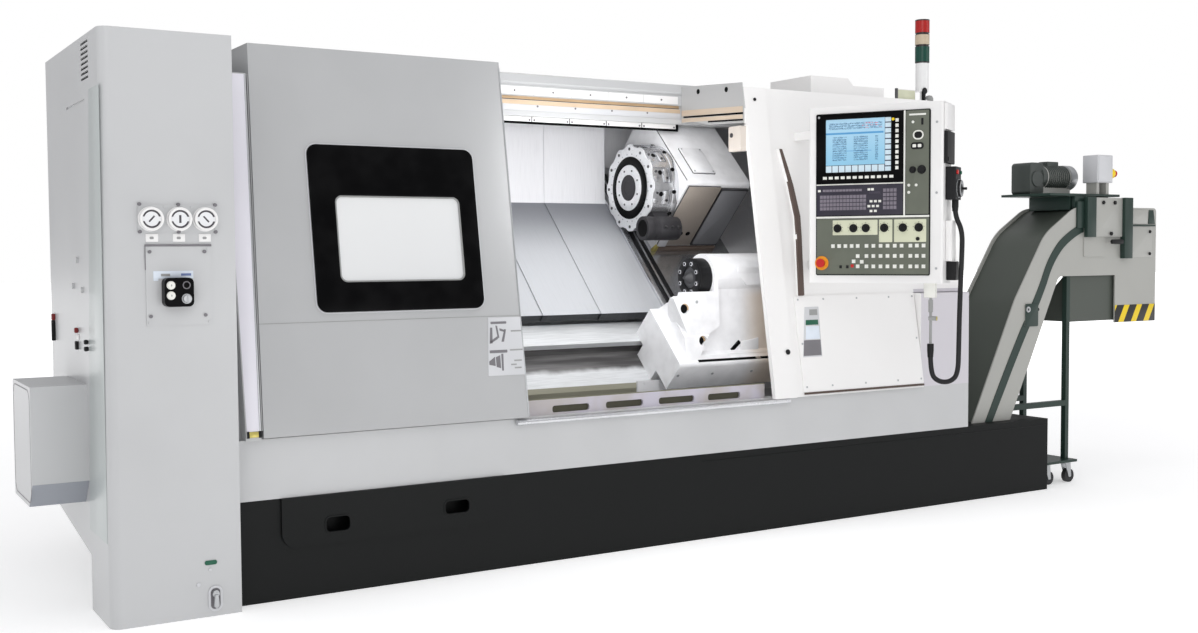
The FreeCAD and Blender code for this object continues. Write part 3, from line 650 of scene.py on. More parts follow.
class Repeats:
    """Copies of one small part made by a Geometry Nodes tree."""

    def __init__(self, pattern: Pattern) -> None:
        """Build the tree for a pattern of copies."""
        self.pattern = pattern
        self.tree = bpy.data.node_groups.new("repeat_" + pattern.value, "GeometryNodeTree")
        self._input("Geometry", "Geometry")
        for name in ("Size X", "Size Y", "Height"):
            self._input(name, "Float", 0.01)
        self._input("Corner", "Float", 0.002)
        self._input("Round", "Bool")
        self._input("Finish", "Material")
        self.tree.interface.new_socket(
            "Geometry", in_out="OUTPUT", socket_type="NodeSocketGeometry")
        if pattern is Pattern.ROWS:
            for name in ("Columns", "Rows"):
                self._input(name, "Int", 2)
            for name in ("Pitch X", "Pitch Y"):
                self._input(name, "Float", 0.02)
        self._wire()

    def _input(self, name: str, kind: str, value: float | None = None) -> None:
        """Add an input of a kind, with the value that it starts at."""
        made = self.tree.interface.new_socket(name, in_out="INPUT", socket_type="NodeSocket" + kind)
        if value is not None:
            made.default_value = value

    def _out(self, kind: str, sockets: dict, **settings: object) -> bpy.types.NodeSocket:
        """Add one node and give its first output."""
        return add_node(self.tree, kind, settings, sockets).outputs[0]

    def _math(self, operation: str, first: object, second: object) -> bpy.types.NodeSocket:
        """Add one Math node and give its output."""
        return self._out("ShaderNodeMath", {0: first, 1: second}, operation=operation)

    def _cube(self, x: object, y: object, height: object) -> bpy.types.NodeSocket:
        """Block of three lengths."""
        size = self._out("ShaderNodeCombineXYZ", {0: x, 1: y, 2: height})
        return self._out("GeometryNodeMeshCube", {"Size": size})

    def _wire(self) -> None:
        """Join the nodes: a block or a disc on each point, realized and dressed."""
        source = add_node(self.tree, "NodeGroupInput").outputs
        cube = self._cube(source["Size X"], source["Size Y"], source["Height"])
        cap = self._cap(source)
        half = self._math("MULTIPLY", source["Size X"], 0.5)
        disc = self._out("GeometryNodeMeshCylinder", {"Vertices": STUD_SIDES, "Radius": half,
                                                      "Depth": source["Height"]})
        joined = add_node(self.tree, "GeometryNodeJoinGeometry")
        for made in (cube, cap):
            self.tree.links.new(made, joined.inputs[0])
        pick = self._out(
            "GeometryNodeSwitch", {"Switch": source["Round"], "False": joined.outputs[0],
                                   "True": disc}, input_type="GEOMETRY")
        spread = self._out(
            "GeometryNodeInstanceOnPoints", {"Points": self._points(source), "Instance": pick})
        solid = self._out("GeometryNodeRealizeInstances", {0: spread})
        dressed = self._out(
            "GeometryNodeSetMaterial", {"Geometry": solid, "Material": source["Finish"]})
        add_node(self.tree, "NodeGroupOutput", {}, {0: dressed})

    def _cap(self, source: object) -> bpy.types.NodeSocket:
        """Raised top of a block, drawn in by its corner size."""
        inner = [self._math("SUBTRACT", source[name], self._math("MULTIPLY", source["Corner"], 2.0))
                 for name in ("Size X", "Size Y")]
        lift = self._math("MULTIPLY", source["Corner"], CAP_LIFT)
        cube = self._cube(*inner, source["Height"])
        move = self._out("ShaderNodeCombineXYZ", {2: lift})
        return self._out("GeometryNodeTransform", {"Geometry": cube, "Translation": move})

    def _points(self, source: object) -> bpy.types.NodeSocket:
        """Points of the pattern: the mesh's own, or a grid's."""
        if self.pattern is Pattern.POINTS:
            return source["Geometry"]
        spans = [self._math("MULTIPLY", self._math("SUBTRACT", source[count], 1.0),
                            source[pitch]) for count, pitch in (("Columns", "Pitch X"),
                                                                ("Rows", "Pitch Y"))]
        return self._out(
            "GeometryNodeMeshGrid", {"Size X": spans[0], "Size Y": spans[1],
                                     "Vertices X": source["Columns"], "Vertices Y": source["Rows"]})

    def run(self, name: str, points: Sequence[Point], place: Matrix, finish: object, body: str,
            slot: str, **inputs: object) -> bpy.types.Object:
        """Run the tree and keep its result as a plain mesh.

        Args:
            name: Name of the piece.
            points: Points that carry the copies, for the points pattern.
            place: Frame in which points and copies are given, with Z standing off the surface.
            finish: Finish of the copies.
            body: CAD body that they ride on.
            slot: Material slot of the record, not used.
            **inputs: Inputs of the tree, with _ for a space.

        Returns:
            The new object, at the origin.
        """
        seed = bpy.data.meshes.new(name + "_points")
        seed.from_pydata([tuple(point) for point in points] or [(0, 0, 0)], [], [])
        holder = bpy.data.objects.new(name + "_points", seed)
        bpy.context.scene.collection.objects.link(holder)
        modifier = holder.modifiers.new("repeat", "NODES")
        modifier.node_group = self.tree
        wanted = {key.replace("_", " "): value for key, value in inputs.items()}
        wanted["Finish"] = FINISHES.get(finish)
        for item in self.tree.interface.items_tree:
            if getattr(item, "in_out", "") == "INPUT" and item.name in wanted:
                modifier[item.identifier] = wanted[item.name]
        graph = bpy.context.evaluated_depsgraph_get()
        graph.update()
        made = bpy.data.meshes.new_from_object(holder.evaluated_get(graph), depsgraph=graph)
        made.name = name
        holder.modifiers.remove(modifier)
        bpy.data.objects.remove(holder)
        made.transform(place)
        return settle(made, name, body, slot)


STUDS = Repeats(Pattern.POINTS)
ROWS = Repeats(Pattern.ROWS)


def facing(place: Matrix, depth: float) -> Matrix:
    """Frame on a face that looks forwards.

    Args:
        place: Machine frame in which the face stands.
        depth: Its place along that frame's Y.

    Returns:
        The frame, with X along the face and Z standing off it.
    """
    turn = Matrix(((1, 0, 0), (0, 0, -1), (0, 1, 0))).to_4x4()
    return place @ Matrix.Translation((0, depth, 0)) @ turn


# ---- finishes of this machine ------------------------------------------------------------
CABINET = Paint("cabinet_paint", srgb(194, 195, 196))
DOOR = Paint("door_paint", srgb(180, 181, 182))
DARK = Paint("dark_paint", srgb(15, 17, 17), 0.5, coat=0.0, shine=0.2)
WHITE = Paint("white_paint", srgb(238, 237, 236), 0.38)
CREAM = Paint("cream_paint", srgb(208, 190, 170), 0.4)
CASTING = Cast("casting", srgb(246, 246, 248))
STAINLESS = Brushed("stainless", srgb(228, 229, 231), 0.36, (1.0, 0.02, 0.02), 0.4)
BRIGHT = Brushed("machined_steel", srgb(226, 227, 230), 0.22, (1.0, 0.03, 0.03))
RIM = Brushed("turret_rim", srgb(240, 241, 243), 0.3, (1.0, 0.3, 0.3), 0.45)
STEEL = Brushed("dark_steel", srgb(98, 98, 100), 0.36, (0.05, 1.0, 1.0))
IRON = Brushed("holder_iron", srgb(56, 55, 58), 0.5, (0.05, 1.0, 1.0), 0.4)
SHEET = Brushed("cover_sheet", srgb(146, 147, 151), 0.45, (1.0, 0.02, 0.6), 0.3)
BROWN = Brushed("worn_steel", srgb(178, 168, 158), 0.4, (1.0, 0.02, 0.6), 0.35)
ZINC = Brushed("zinc", srgb(190, 192, 194), 0.35, (1.0, 1.0, 0.1), 0.8)
BRASS = Brushed("brass", srgb(204, 190, 110), 0.34, (1.0, 0.1, 1.0), 0.8)
BLACK = Moulded("black_plastic", srgb(17, 17, 19), 0.45, shine=0.25)
GLOSS = Moulded("black_gloss", srgb(5, 5, 6), 0.3, 0.00001, 0.0, 0.06)
GREY = Moulded("grey_plastic", srgb(150, 151, 150), 0.45)
PALE = Moulded("pale_plastic", srgb(226, 226, 220), 0.42)
CREAM_PLATE = Moulded("cream_plate", srgb(205, 207, 182), 0.5)
TAN = Moulded("tan_strip", srgb(186, 158, 124), 0.5)
OLIVE_DARK = Moulded("olive_shadow", srgb(74, 72, 58), 0.55)
OLIVE = Moulded("olive_plate", srgb(99, 103, 92), 0.5)
DUSK = Moulded("dusk_plate", srgb(46, 43, 55), 0.45)
RED = Moulded("red_plastic", srgb(186, 26, 24), 0.3, coat=0.3)
ORANGE = Moulded("orange_plastic", srgb(232, 150, 34), 0.4)
YELLOW = Moulded("yellow_plastic", srgb(240, 206, 20), 0.4)
GREEN = Moulded("green_plastic", srgb(30, 92, 70), 0.4)
RUBBER = Moulded("hose_rubber", srgb(26, 26, 28), 0.6)
TYRE = Moulded("caster_rubber", srgb(48, 48, 50), 0.65)
FOREST = Paint("conveyor_green", srgb(38, 56, 50), 0.42, shine=0.3)
HOOD = Paint("conveyor_dark", srgb(78, 83, 77), 0.45, shine=0.3)
TRUNK = Paint("conveyor_grey", srgb(170, 170, 165), 0.38)
GEAR = Cast("gearbox", srgb(62, 68, 65), 0.4, 0.0004)
# Painted shade: near-black finish of the discs, blocks and bands that fill holes, slots, grooves
# and gaps.
HOLE_SHADE = Moulded("hole_shade", srgb(9, 9, 10), 0.7, shine=0.1)
LILAC = Paint("lilac_paint", srgb(228, 226, 234), 0.4)
UMBER = Moulded("umber_rubber", srgb(84, 70, 64), 0.5)
FAINT = Paint("faint_grey", srgb(205, 206, 209), 0.42)
SHADE = Moulded("shade_grey", srgb(118, 116, 120), 0.5)
BLUISH = Moulded("bluish_plate", srgb(214, 222, 232), 0.45)


def draw_glass(shader: Shader) -> object:
    """Whitish safety glass with a painted highlight that makes it a little lighter towards its
    upper left.
    """
    x, _, z = shader.axes(FRAMES.slant)
    # Painted highlight: lighter towards the upper left, darker towards the lower right.
    lean = ((x - 0.88) * 0.5 + (1.0 - z) * 0.9).ramp(0.0, 0.9)
    return shader.blend(lean, srgb(224, 225, 225), srgb(212, 213, 214))


def draw_dial(shader: Shader) -> object:
    """White dials with a broken dark scale and a short hand, one on each gauge."""
    x, _, z = shader.axes(FRAMES.shop)
    tall = z - GAUGE_Z
    ink = rim = tall * 0.0
    for centre, lean in GAUGES:
        across = x - centre
        reach = (across * across + tall * tall).root()
        scale = reach.within(0.0255, 0.0318) * (tall.size() > 0.008)
        hand = ((across - tall * lean).size() < 0.004) * (reach < 0.014)
        ink = ink.most(scale).most(hand)
        rim = rim.most(reach.within(0.032, 0.04))
    face = shader.blend(ink, srgb(234, 235, 237), srgb(66, 62, 68))
    return shader.blend(rim, face, srgb(226, 227, 229))


def draw_screen(shader: Shader) -> object:
    """Light-blue display with a title bar, fields of small marks and a key strip."""
    u, _, z = shader.axes(FRAMES.panel)
    across = (u - 0.082) / 0.308
    tall = (z - 1.669) / 0.245
    base = shader.blend(tall.ramp(0.0, 1.0), srgb(134, 188, 216), srgb(166, 204, 226))
    bar = tall.within(0.71, 0.745) * (across < 0.88)
    marks = shader.noise(300.0, 0.0, (1.0, 1.0, 1.6)) > 0.52
    rows = (tall * 24.0).part() > 0.45
    top = tall.within(0.8, 0.93) * across.within(0.05, 0.86)
    middle = tall.within(0.22, 0.67) * across.within(0.1, 0.8) * (((across * 3.1).part()) > 0.34)
    ink = marks * rows * top.most(middle)
    warm = ink * top * (across > 0.55) * (shader.noise(60.0, 0.0) > 0.5)
    cells = (shader.noise(70.0, 0.0, (1.0, 1.0, 2.2)) > 0.5) * top.most(middle) * 0.35
    line = tall.within(0.395, 0.405) * across.within(0.3, 0.7)
    keys = (tall < 0.13) * ((across * 10.0).part()).within(0.06, 0.94) * (across < 0.9)
    side = (across > 0.905) * ((tall * 10.0).part()).within(0.1, 0.9)
    colour = shader.blend(bar.most(line), base, srgb(84, 150, 200))
    colour = shader.blend(cells, colour, srgb(76, 120, 160))
    colour = shader.blend(ink * 0.9, colour, srgb(48, 88, 128))
    colour = shader.blend(warm, colour, srgb(206, 92, 110))
    colour = shader.blend((tall < 0.14).most(across > 0.9), colour, srgb(52, 60, 78))
    return shader.blend(keys.most(side), colour, srgb(196, 214, 224))


def draw_lens(shader: Shader) -> object:
    """Signal tower: green below, clear amber between and red on top, dark caps."""
    _, _, z = shader.axes(FRAMES.shop)
    colour = srgb(222, 222, 222)
    for low, high, tone in (
            (2.303, 2.3895, srgb(4, 66, 54)), (2.3945, 2.4525, srgb(196, 180, 156)),
            (2.4575, 2.522, srgb(168, 24, 20))):
        colour = shader.blend(z.within(low, high), colour, tone)
    joints = z.within(2.386, 2.398).most(z.within(2.449, 2.461)).most(z.within(2.301, 2.308))
    ribs = ((z * 160.0).part() < 0.35) * (z > 2.31) * 0.3
    colour = shader.blend(ribs, colour, srgb(40, 30, 30))
    return shader.blend(joints.most(z > 2.522), colour, srgb(46, 42, 42))


def draw_bed(shader: Shader) -> object:
    """Sheet steel of the bed with the shaded, streaky foot of its lower slope."""
    _, a, h = shader.axes(FRAMES.bed)
    lines = shader.noise(420.0, 2.0, (0.02, 1.0, 1.0))
    streak = shader.noise(26.0, 3.0, (0.06, 1.0, 1.0))
    base = shader.blend(lines.ramp(0.3, 0.7), srgb(206, 208, 210), srgb(228, 230, 232))
    edge = a + shader.noise(9.0, 3.0) * 0.05
    trough = edge.ramp(-0.206, -0.166) * (a < -0.1035) * (h < -0.36)
    shade = shader.blend(streak.ramp(0.35, 0.65), srgb(72, 70, 71), srgb(122, 121, 121))
    colour = shader.blend(trough, base, shade)
    return shader.blend((a < -0.302) * (h < -0.36), colour, srgb(140, 138, 122))


def draw_sheet(shader: Shader) -> object:
    """Cover sheets: white wall, slope with painted shade that darkens towards its bend, painted
    light on the sheets past the turret and a shaded front lip.
    """
    x, _, z = shader.axes(FRAMES.shop)
    _, a, h = shader.axes(FRAMES.bed)
    lines = shader.noise(420.0, 2.0, (1.0, 0.02, 0.02))
    # Painted shade: the slope darkens towards its bend under the wall.
    slope = shader.blend(a.ramp(0.4, 0.8), srgb(184, 186, 190), srgb(128, 130, 136))
    wall = z.ramp(1.5645, 1.5665)
    colour = shader.blend(wall, slope, srgb(232, 232, 235))
    # Painted light: past x 3.1 the sheets take an even light grey that lifts the turret housing's
    # shadow.
    colour = shader.blend(x.ramp(3.1, 3.25), colour, srgb(214, 214, 217))
    colour = shader.blend((a + h) < -0.2388, colour, srgb(24, 28, 32))
    return shader.blend(lines.ramp(0.45, 0.75) * 0.1, colour, srgb(120, 122, 126))


def draw_pillar(shader: Shader) -> object:
    """White pillar, greyer corner plate and cream door stop."""
    x, y, z = shader.axes(FRAMES.shop)
    plate = (x < 3.0005) * (y > 0.27) * (z > 1.915)
    colour = shader.blend(plate, srgb(238, 237, 236), srgb(186, 186, 186))
    return shader.blend((x < 2.9938) * (z < 1.914), colour, srgb(216, 207, 198))


def draw_housing(shader: Shader) -> object:
    """White body whose lower corner beside the service plate is lilac grey."""
    x, _, z = shader.axes(FRAMES.shop)
    return shader.blend((x > 3.972) * (z < 1.115), srgb(238, 237, 236), srgb(205, 202, 208))


def draw_tail(shader: Shader) -> object:
    """Painted casting with a warm tone towards its right end."""
    x, _, z = shader.axes(FRAMES.shop)
    broad = shader.noise(14.0, 3.0).ramp(0.25, 0.7)
    base = shader.blend(broad, srgb(236, 236, 238), srgb(248, 248, 250))
    warm = x.ramp(2.98, 3.14) * (1.0 - z.ramp(1.08, 1.16))
    return shader.blend(warm * 0.8, base, srgb(222, 204, 184))


def draw_sill(shader: Shader) -> object:
    """Greyish front lip with an olive upper edge, and the bright strip behind it."""
    _, y, z = shader.axes(FRAMES.shop)
    cloud = shader.noise(5.0, 3.0).ramp(0.4, 0.65)
    lip = shader.blend(cloud, srgb(184, 178, 178), srgb(196, 192, 204))
    lip = shader.blend(z > 0.6865, lip, srgb(112, 110, 88))
    return shader.blend(y > 0.3, lip, srgb(226, 226, 228))


def draw_hazard(shader: Shader) -> object:
    """Slanting yellow and black warning bars."""
    x, y, z = shader.axes(FRAMES.shop)
    bars = ((x - z * 0.55 - y) * (1.0 / 0.113)).part() < 0.42
    return shader.blend(bars, srgb(30, 30, 30), srgb(238, 206, 22))


# The glass's faint glow is painted light.
GLASS = Patterned("glass_grey", draw_glass, 0.16, glow=0.06)
GAUGE = Patterned("gauge", draw_dial, 0.3)
SCREEN = Patterned("screen", draw_screen, 0.2, glow=0.15)
BED = Patterned("bed_steel", draw_bed, 0.36, 0.3)
SHEETS = Patterned("cover_sheets", draw_sheet, 0.42, 0.12)
PILLAR = Patterned("pillar_paint", draw_pillar, 0.38)
HOUSING = Patterned("housing_paint", draw_housing, 0.38)
TAIL = Patterned("tail_casting", draw_tail, 0.42, grain=0.0002)
SILL = Patterned("sill_plate", draw_sill, 0.4)
LENS = Patterned("lens", draw_lens, 0.22, glow=0.1)
HAZARD = Patterned("hazard", draw_hazard, 0.4)

SLOTS = {
    "cabinet_paint": CABINET, "gauge": GAUGE, "black_plastic": BLACK, "zinc": ZINC,
    "dark_paint": DARK, "machined_steel": BRIGHT, "stainless": STAINLESS, "casting": CASTING,
    "dark_steel": STEEL, "door_paint": DOOR, "glass_grey": GLASS, "white_paint": WHITE,
    "lens": LENS, "screen": SCREEN, "red_plastic": RED, "hose_rubber": RUBBER,
    "conveyor_grey": TRUNK, "conveyor_dark": HOOD, "caster_rubber": TYRE}

NODE_FINISHES = {
    "bed_casting": BED, "conveyor_leg": FOREST, "tank_access_cover": DARK, "switch_block": GLOSS,
    "fixed_covers": SHEETS, "left_cover_1": SHEETS, "left_cover_2": SHEETS, "right_cover_1": SHEETS,
    "carriage_covers": SHEETS, "right_pillar": PILLAR, "tailstock_body": TAIL,
    "right_housing": HOUSING, "panel_bracket": WHITE, "door_sill": SILL, "tool_holder": IRON}


def dress_frame() -> None:
    """Give every CAD node the finish of its material slot."""
    for name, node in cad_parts.items():
        for index, slot in enumerate(node.material_slots):
            key = slot.material.name.split(".")[0] if slot.material else ""
            finish = NODE_FINISHES.get(name, SLOTS.get(key))
            if finish is None:
                LOG.info("no finish for %s of %s", key, name)
                continue
            node.material_slots[index].material = FINISHES.get(finish)


# ---- studio ------------------------------------------------------------------------------
@dataclass
class Studio:
    """Camera, floor, world and lights round the machine."""

    eye: Point = (-0.9548, -4.8116, 1.317)
    yaw: float = 31.611
    pitch: float = 2.8065
    roll: float = -0.3326
    lens: float = 40.03
    sky: float = 0.62
    sensor: float = 36.0
    far: float = 200.0
    floor_reach: float = 60.0
    samples: int = 160
    picture: tuple[int, int] = (1198, 633)

    def build(self) -> None:
        """Build the whole studio."""
        self.camera()
        self.world()
        self.floor()
        self.lights()
        scene = bpy.context.scene
        scene.render.engine = "CYCLES"
        scene.cycles.samples = self.samples
        scene.cycles.use_denoising = True
        scene.render.resolution_x, scene.render.resolution_y = self.picture
        scene.view_settings.view_transform = "Standard"

    def camera(self) -> None:
        """Put the camera where the photograph was taken from."""
        yaw, pitch, roll = (math.radians(value) for value in (self.yaw, self.pitch, self.roll))
        ahead = Vector(
            (math.sin(yaw) * math.cos(pitch), math.cos(yaw) * math.cos(pitch), -math.sin(pitch)))
        right = Vector((math.cos(yaw), -math.sin(yaw), 0))
        top = right.cross(ahead)
        side = right * math.cos(roll) + top * math.sin(roll)
        head = top * math.cos(roll) - right * math.sin(roll)
        turn = Matrix((side, head, -ahead)).transposed().to_4x4()
        data = bpy.data.cameras.new("camera")
        data.lens = self.lens
        data.sensor_width = self.sensor
        data.clip_end = self.far
        camera = bpy.data.objects.new("camera", data)
        camera.matrix_world = FRAMES.shop @ Matrix.Translation(Vector(self.eye)) @ turn
        bpy.context.scene.collection.objects.link(camera)
        bpy.context.scene.camera = camera

    def world(self) -> None:
        """White behind the machine and soft sky light on it."""
        world = bpy.data.worlds.new("studio")
        bpy.context.scene.world = world
        world.use_nodes = True
        tree = world.node_tree
        tree.nodes.clear()
        output = add_node(tree, "ShaderNodeOutputWorld")
        rays = add_node(tree, "ShaderNodeLightPath").outputs
        seen = add_node(tree, "ShaderNodeMath", {"operation": "MAXIMUM"},
                        {0: rays["Is Camera Ray"], 1: rays["Is Transmission Ray"]})
        white = add_node(tree, "ShaderNodeBackground", {}, {0: (1, 1, 1, 1), 1: 1.0})
        soft = add_node(tree, "ShaderNodeBackground", {}, {1: self.sky})
        ramp = add_node(tree, "ShaderNodeValToRGB", {"stops": ((0.42, (0.5, 0.5, 0.51)),
                                                               (0.75, (1.0, 1.0, 1.02)))})
        place = add_node(tree, "ShaderNodeTexCoord").outputs
        split = add_node(tree, "ShaderNodeSeparateXYZ", {}, {0: place["Generated"]})
        shift = add_node(tree, "ShaderNodeMath", {"operation": "MULTIPLY_ADD"},
                         {0: split.outputs[2], 1: 0.5, 2: 0.5})
        mix = add_node(tree, "ShaderNodeMixShader", {}, {0: seen.outputs[0], 1: soft.outputs[0],
                                                         2: white.outputs[0]})
        for source, target in ((shift, ramp), (ramp, soft), (mix, output)):
            tree.links.new(source.outputs[0], target.inputs[0])

    def floor(self) -> None:
        """Plain pale floor."""
        reach = self.floor_reach
        mesh = bpy.data.meshes.new("floor")
        mesh.from_pydata(
            [(-reach, -reach, 0), (reach, -reach, 0), (reach, reach, 0), (-reach, reach, 0)], [],
            [(0, 1, 2, 3)])
        floor = bpy.data.objects.new("floor", mesh)
        shader = Shader("floor")
        cloud = shader.noise(0.7, 2.0)
        x, y, _ = shader.axes()
        far = (x * x + y * y).root().ramp(3.5, 16.0)
        mesh.materials.append(shader.dress(Base_Color=shader.blend(cloud, (0.93, 0.93, 0.93),
                                                                   (0.96, 0.96, 0.96)),
                                           Roughness=cloud * 0.1 + 0.75,
                                           Emission_Color=shader.blend(far, (0.34, 0.34, 0.34),
                                                                       (0.9, 0.9, 0.9)),
                                           Emission_Strength=1.0, Specular_IOR_Level=0.1))
        bpy.context.scene.collection.objects.link(floor)

    def lights(self) -> None:
        """Large soft lights in front, above and at the side."""
        lights = (
            ("key", (-2.5, -6.5, 5.5), (2.6, 0.4, 1.0), 5.0, 105.0),
            ("top", (2.6, -1.2, 6.5), (2.6, 0.6, 1.0), 4.5, 60.0),
            ("side", (-6.5, -0.5, 3.0), (0.5, 0.6, 1.0), 3.5, 14.0),
            ("low", (2.0, -3.6, 0.35), (2.9, 0.6, 1.2), 1.6, 18.0),
            ("right", (8.5, -4.5, 3.5), (4.6, 0.3, 1.0), 3.5, 30.0),
            ("inner", (2.1, 0.02, 1.72), (2.35, 1.1, 1.42), 0.5, 7.0),
            ("trough", (2.45, 0.2, 1.9), (2.55, 0.55, 0.7), 0.35, 2.0))
        for row in lights:
            self._light(*row)

    @staticmethod
    def _light(name: str, start: Point, target: Point, size: float, power: float) -> None:
        """Add one square light that faces a target."""
        data = bpy.data.lights.new(name, "AREA")
        data.shape = "SQUARE"
        data.size = size
        data.energy = power
        light = bpy.data.objects.new(name, data)
        light.visible_camera = False
        light.visible_glossy = size > 1.0
        aim = (Vector(target) - Vector(start)).to_track_quat("-Z", "Y").to_matrix().to_4x4()
        light.matrix_world = FRAMES.shop @ Matrix.Translation(Vector(start)) @ aim
        bpy.context.scene.collection.objects.link(light)


# ---- electrical cabinet ------------------------------------------------------------------
@dataclass
class Cabinet:
    """Bezels, plates and small fittings of the electrical cabinet."""

    def build(self) -> None:
        """Build every piece of the cabinet."""
        self.bezels()
        self.plates()
        self.switches()
        self.foot()
        self.side_marks()

    def bezels(self) -> None:
        """Bright rings of the three gauges and the screws of their plate."""
        maker = Maker("gauge_bezels")
        for x, _ in GAUGES:
            centre = (x, GAUGE_Z)
            maker.ring(centre, 0.0412, 0.0326, Y, -0.0312, -0.02, 0.0018, 48)
            maker.ring(centre, 0.0438, 0.038, Y, -0.0078, -0.0041, 0.001, 48)
        maker.done((WHITE,), "zinc")
        points = [(x, z, 0) for x in (0.124, 0.2575, 0.388) for z in (1.3945, 1.4905)]
        points += [(x, z, 0) for x in (0.155, 0.346) for z in (1.097, 1.324)]
        STUDS.run("plate_screws", points, facing(FRAMES.shop, -0.0044), SHADE, "machine",
                  "black_plastic", Size_X=0.0128, Height=0.0086, Round=True)

    def plates(self) -> None:
        """Three name cards, the label over the switches and the dark top of their plate."""
        maker = Maker("cabinet_name_fields")
        for x in (0.165, 0.2585, 0.3495):
            maker.colour(0).plate(x - 0.0215, x + 0.0215, 1.359, 1.387, 0.002, -0.0024, -TIGHT)
            maker.colour(1).plate(x - 0.008, x + 0.006, 1.368, 1.377, 0.003, -0.0029, -0.0022, 0)
        maker.colour(4).plate(0.1665, 0.305, 1.229, 1.256, 0.002, -0.0062, -0.0041)
        maker.plate(0.1665, 0.1835, 1.222, 1.23, 0.002, -0.0062, -0.0041)
        maker.colour(1).block((0.192, -0.0066, 1.2375), (0.224, -0.006, 1.2465))
        maker.colour(2).block((0.262, -0.0066, 1.2385), (0.297, -0.006, 1.247))
        maker.colour(3).block((0.1395, -0.006, 1.3425), (0.3715, -TIGHT, 1.35), 0.0006)
        maker.block((0.1395, -0.005, 1.26), (0.1415, -TIGHT, 1.343), 0.0003)
        maker.done((WHITE, GREY, Moulded("ink_blue", srgb(104, 122, 168), 0.5), SHADE, BLUISH),
                   "cabinet_paint")

    def switches(self) -> None:
        """Pale buttons, rings and the key switch's collar on the switch block."""
        maker = Maker("switch_rings")
        for z in (1.206, 1.17):
            maker.colour(0).turned(
                [(-0.0461, 0.015), (-0.049, 0.015), (-0.05, 0.014), (-0.056, 0.0125),
                 (-0.057, 0.0)], (0.216, 0, z), Y, 32)
            maker.colour(1).block((0.2145, -0.0576, z - 0.0035), (0.2175, -0.0566, z + 0.0035))
        maker.colour(2).ring((0.27, 1.206), 0.014, 0.0105, Y, -0.05, -0.0461, 0.0008, 32)
        maker.colour(3).ring((0.27, 1.158), 0.0178, 0.0138, Y, -0.049, -0.0461, 0.0006, 32)
        maker.done((PALE, GREY, SHADE, ZINC), "zinc")

    def foot(self) -> None:
        """Green mark, marker dots and the drain lever low on the front."""
        maker = Maker("drain_lever")
        maker.colour(0).plate(0.326, 0.37, 0.19, 0.206, 0.007, -0.003, -TIGHT)
        maker.colour(2).rod((0.302, -0.004, 0.122), Y, 0.0038, 0.0075, 20, 0.001)
        maker.rod((0.345, -0.004, 0.172), Y, 0.0038, 0.006, 20, 0.001)
        maker.frame(rounded(0.336, 0.388, 0.018, 0.112, 0.024),
                    rounded(0.345, 0.379, 0.027, 0.103, 0.015), Y, -0.005, -TIGHT, 0.0012)
        maker.colour(1).plate(0.3445, 0.3795, 0.0265, 0.1035, 0.0152, -0.0012, -TIGHT, 0)
        maker.colour(3).rod((0.362, -0.016, 0.084), Y, 0.0152, 0.013, 28, 0.0015)
        maker.prism([(0.355, 0.082), (0.369, 0.082), (0.372, 0.04), (0.362, 0.03), (0.352, 0.04)],
                    Y, -0.0215, -0.013, 0.0022)
        maker.done((GREEN, SHADE, FAINT, ZINC), "cabinet_paint")

    def side_marks(self) -> None:
        """Grips, studs, louvres' shade and band of the side wall, the side box's rim and the
        painted shade of its chamfer.
        """
        maker = Maker("side_plates")
        maker.colour(0).block((-0.015, 0.962, 0.966), (-TIGHT, 0.976, 1.05), 0.003)
        maker.block((-0.012, 0.476, 0.958), (-TIGHT, 0.496, 0.99), 0.003)
        for z in (0.9965, 0.9715):
            maker.rod((-0.015, 0.296, z), X, 0.0148, 0.0088, 24, 0.003)
        maker.colour(1).block((-0.014, 0.96, 1.05), (-TIGHT, 0.978, 1.076), 0.003)
        maker.rod((-0.014, 0.482, 1.031), X, 0.0138, 0.0105, 24, 0.003)
        maker.colour(2).plate(0.462, 0.502, 0.996, 1.016, 0.003, -0.003, -TIGHT, 0.0006, X)
        maker.colour(3)
        for index in range(8):
            z = 1.942 + 0.018 * index
            maker.block((0.001, 0.182, z + 0.0004), (0.0069, 0.308, z + 0.005))
        # Painted shade: a darker grey skin on the side box's down-facing chamfer.
        maker.colour(4).prism(
            [(0.3343, 0.4814), (0.4143, 0.3914), (0.4153, 0.3922), (0.3353, 0.4822)], X, -0.1962,
            -0.0004)
        maker.colour(5).frame(
            rounded(0.352, 0.736, 0.408, 0.826, 0.05), rounded(0.356, 0.732, 0.412, 0.822, 0.046),
            X, -0.1976, -0.1966)
        maker.colour(6).prism(
            [(0.036, 0.3), (0.345, 0.3), (0.176, 1.9), (0.006, 1.9)], X, -0.0012, -TIGHT, 0.0003)
        maker.done(
            (BLACK, Moulded("stud_red", srgb(120, 34, 34), 0.4), WHITE, HOLE_SHADE,
             Paint("bevel_shade", srgb(150, 154, 162)), SHADE,
             Paint("band_grey", srgb(188, 194, 193))), "cabinet_paint")


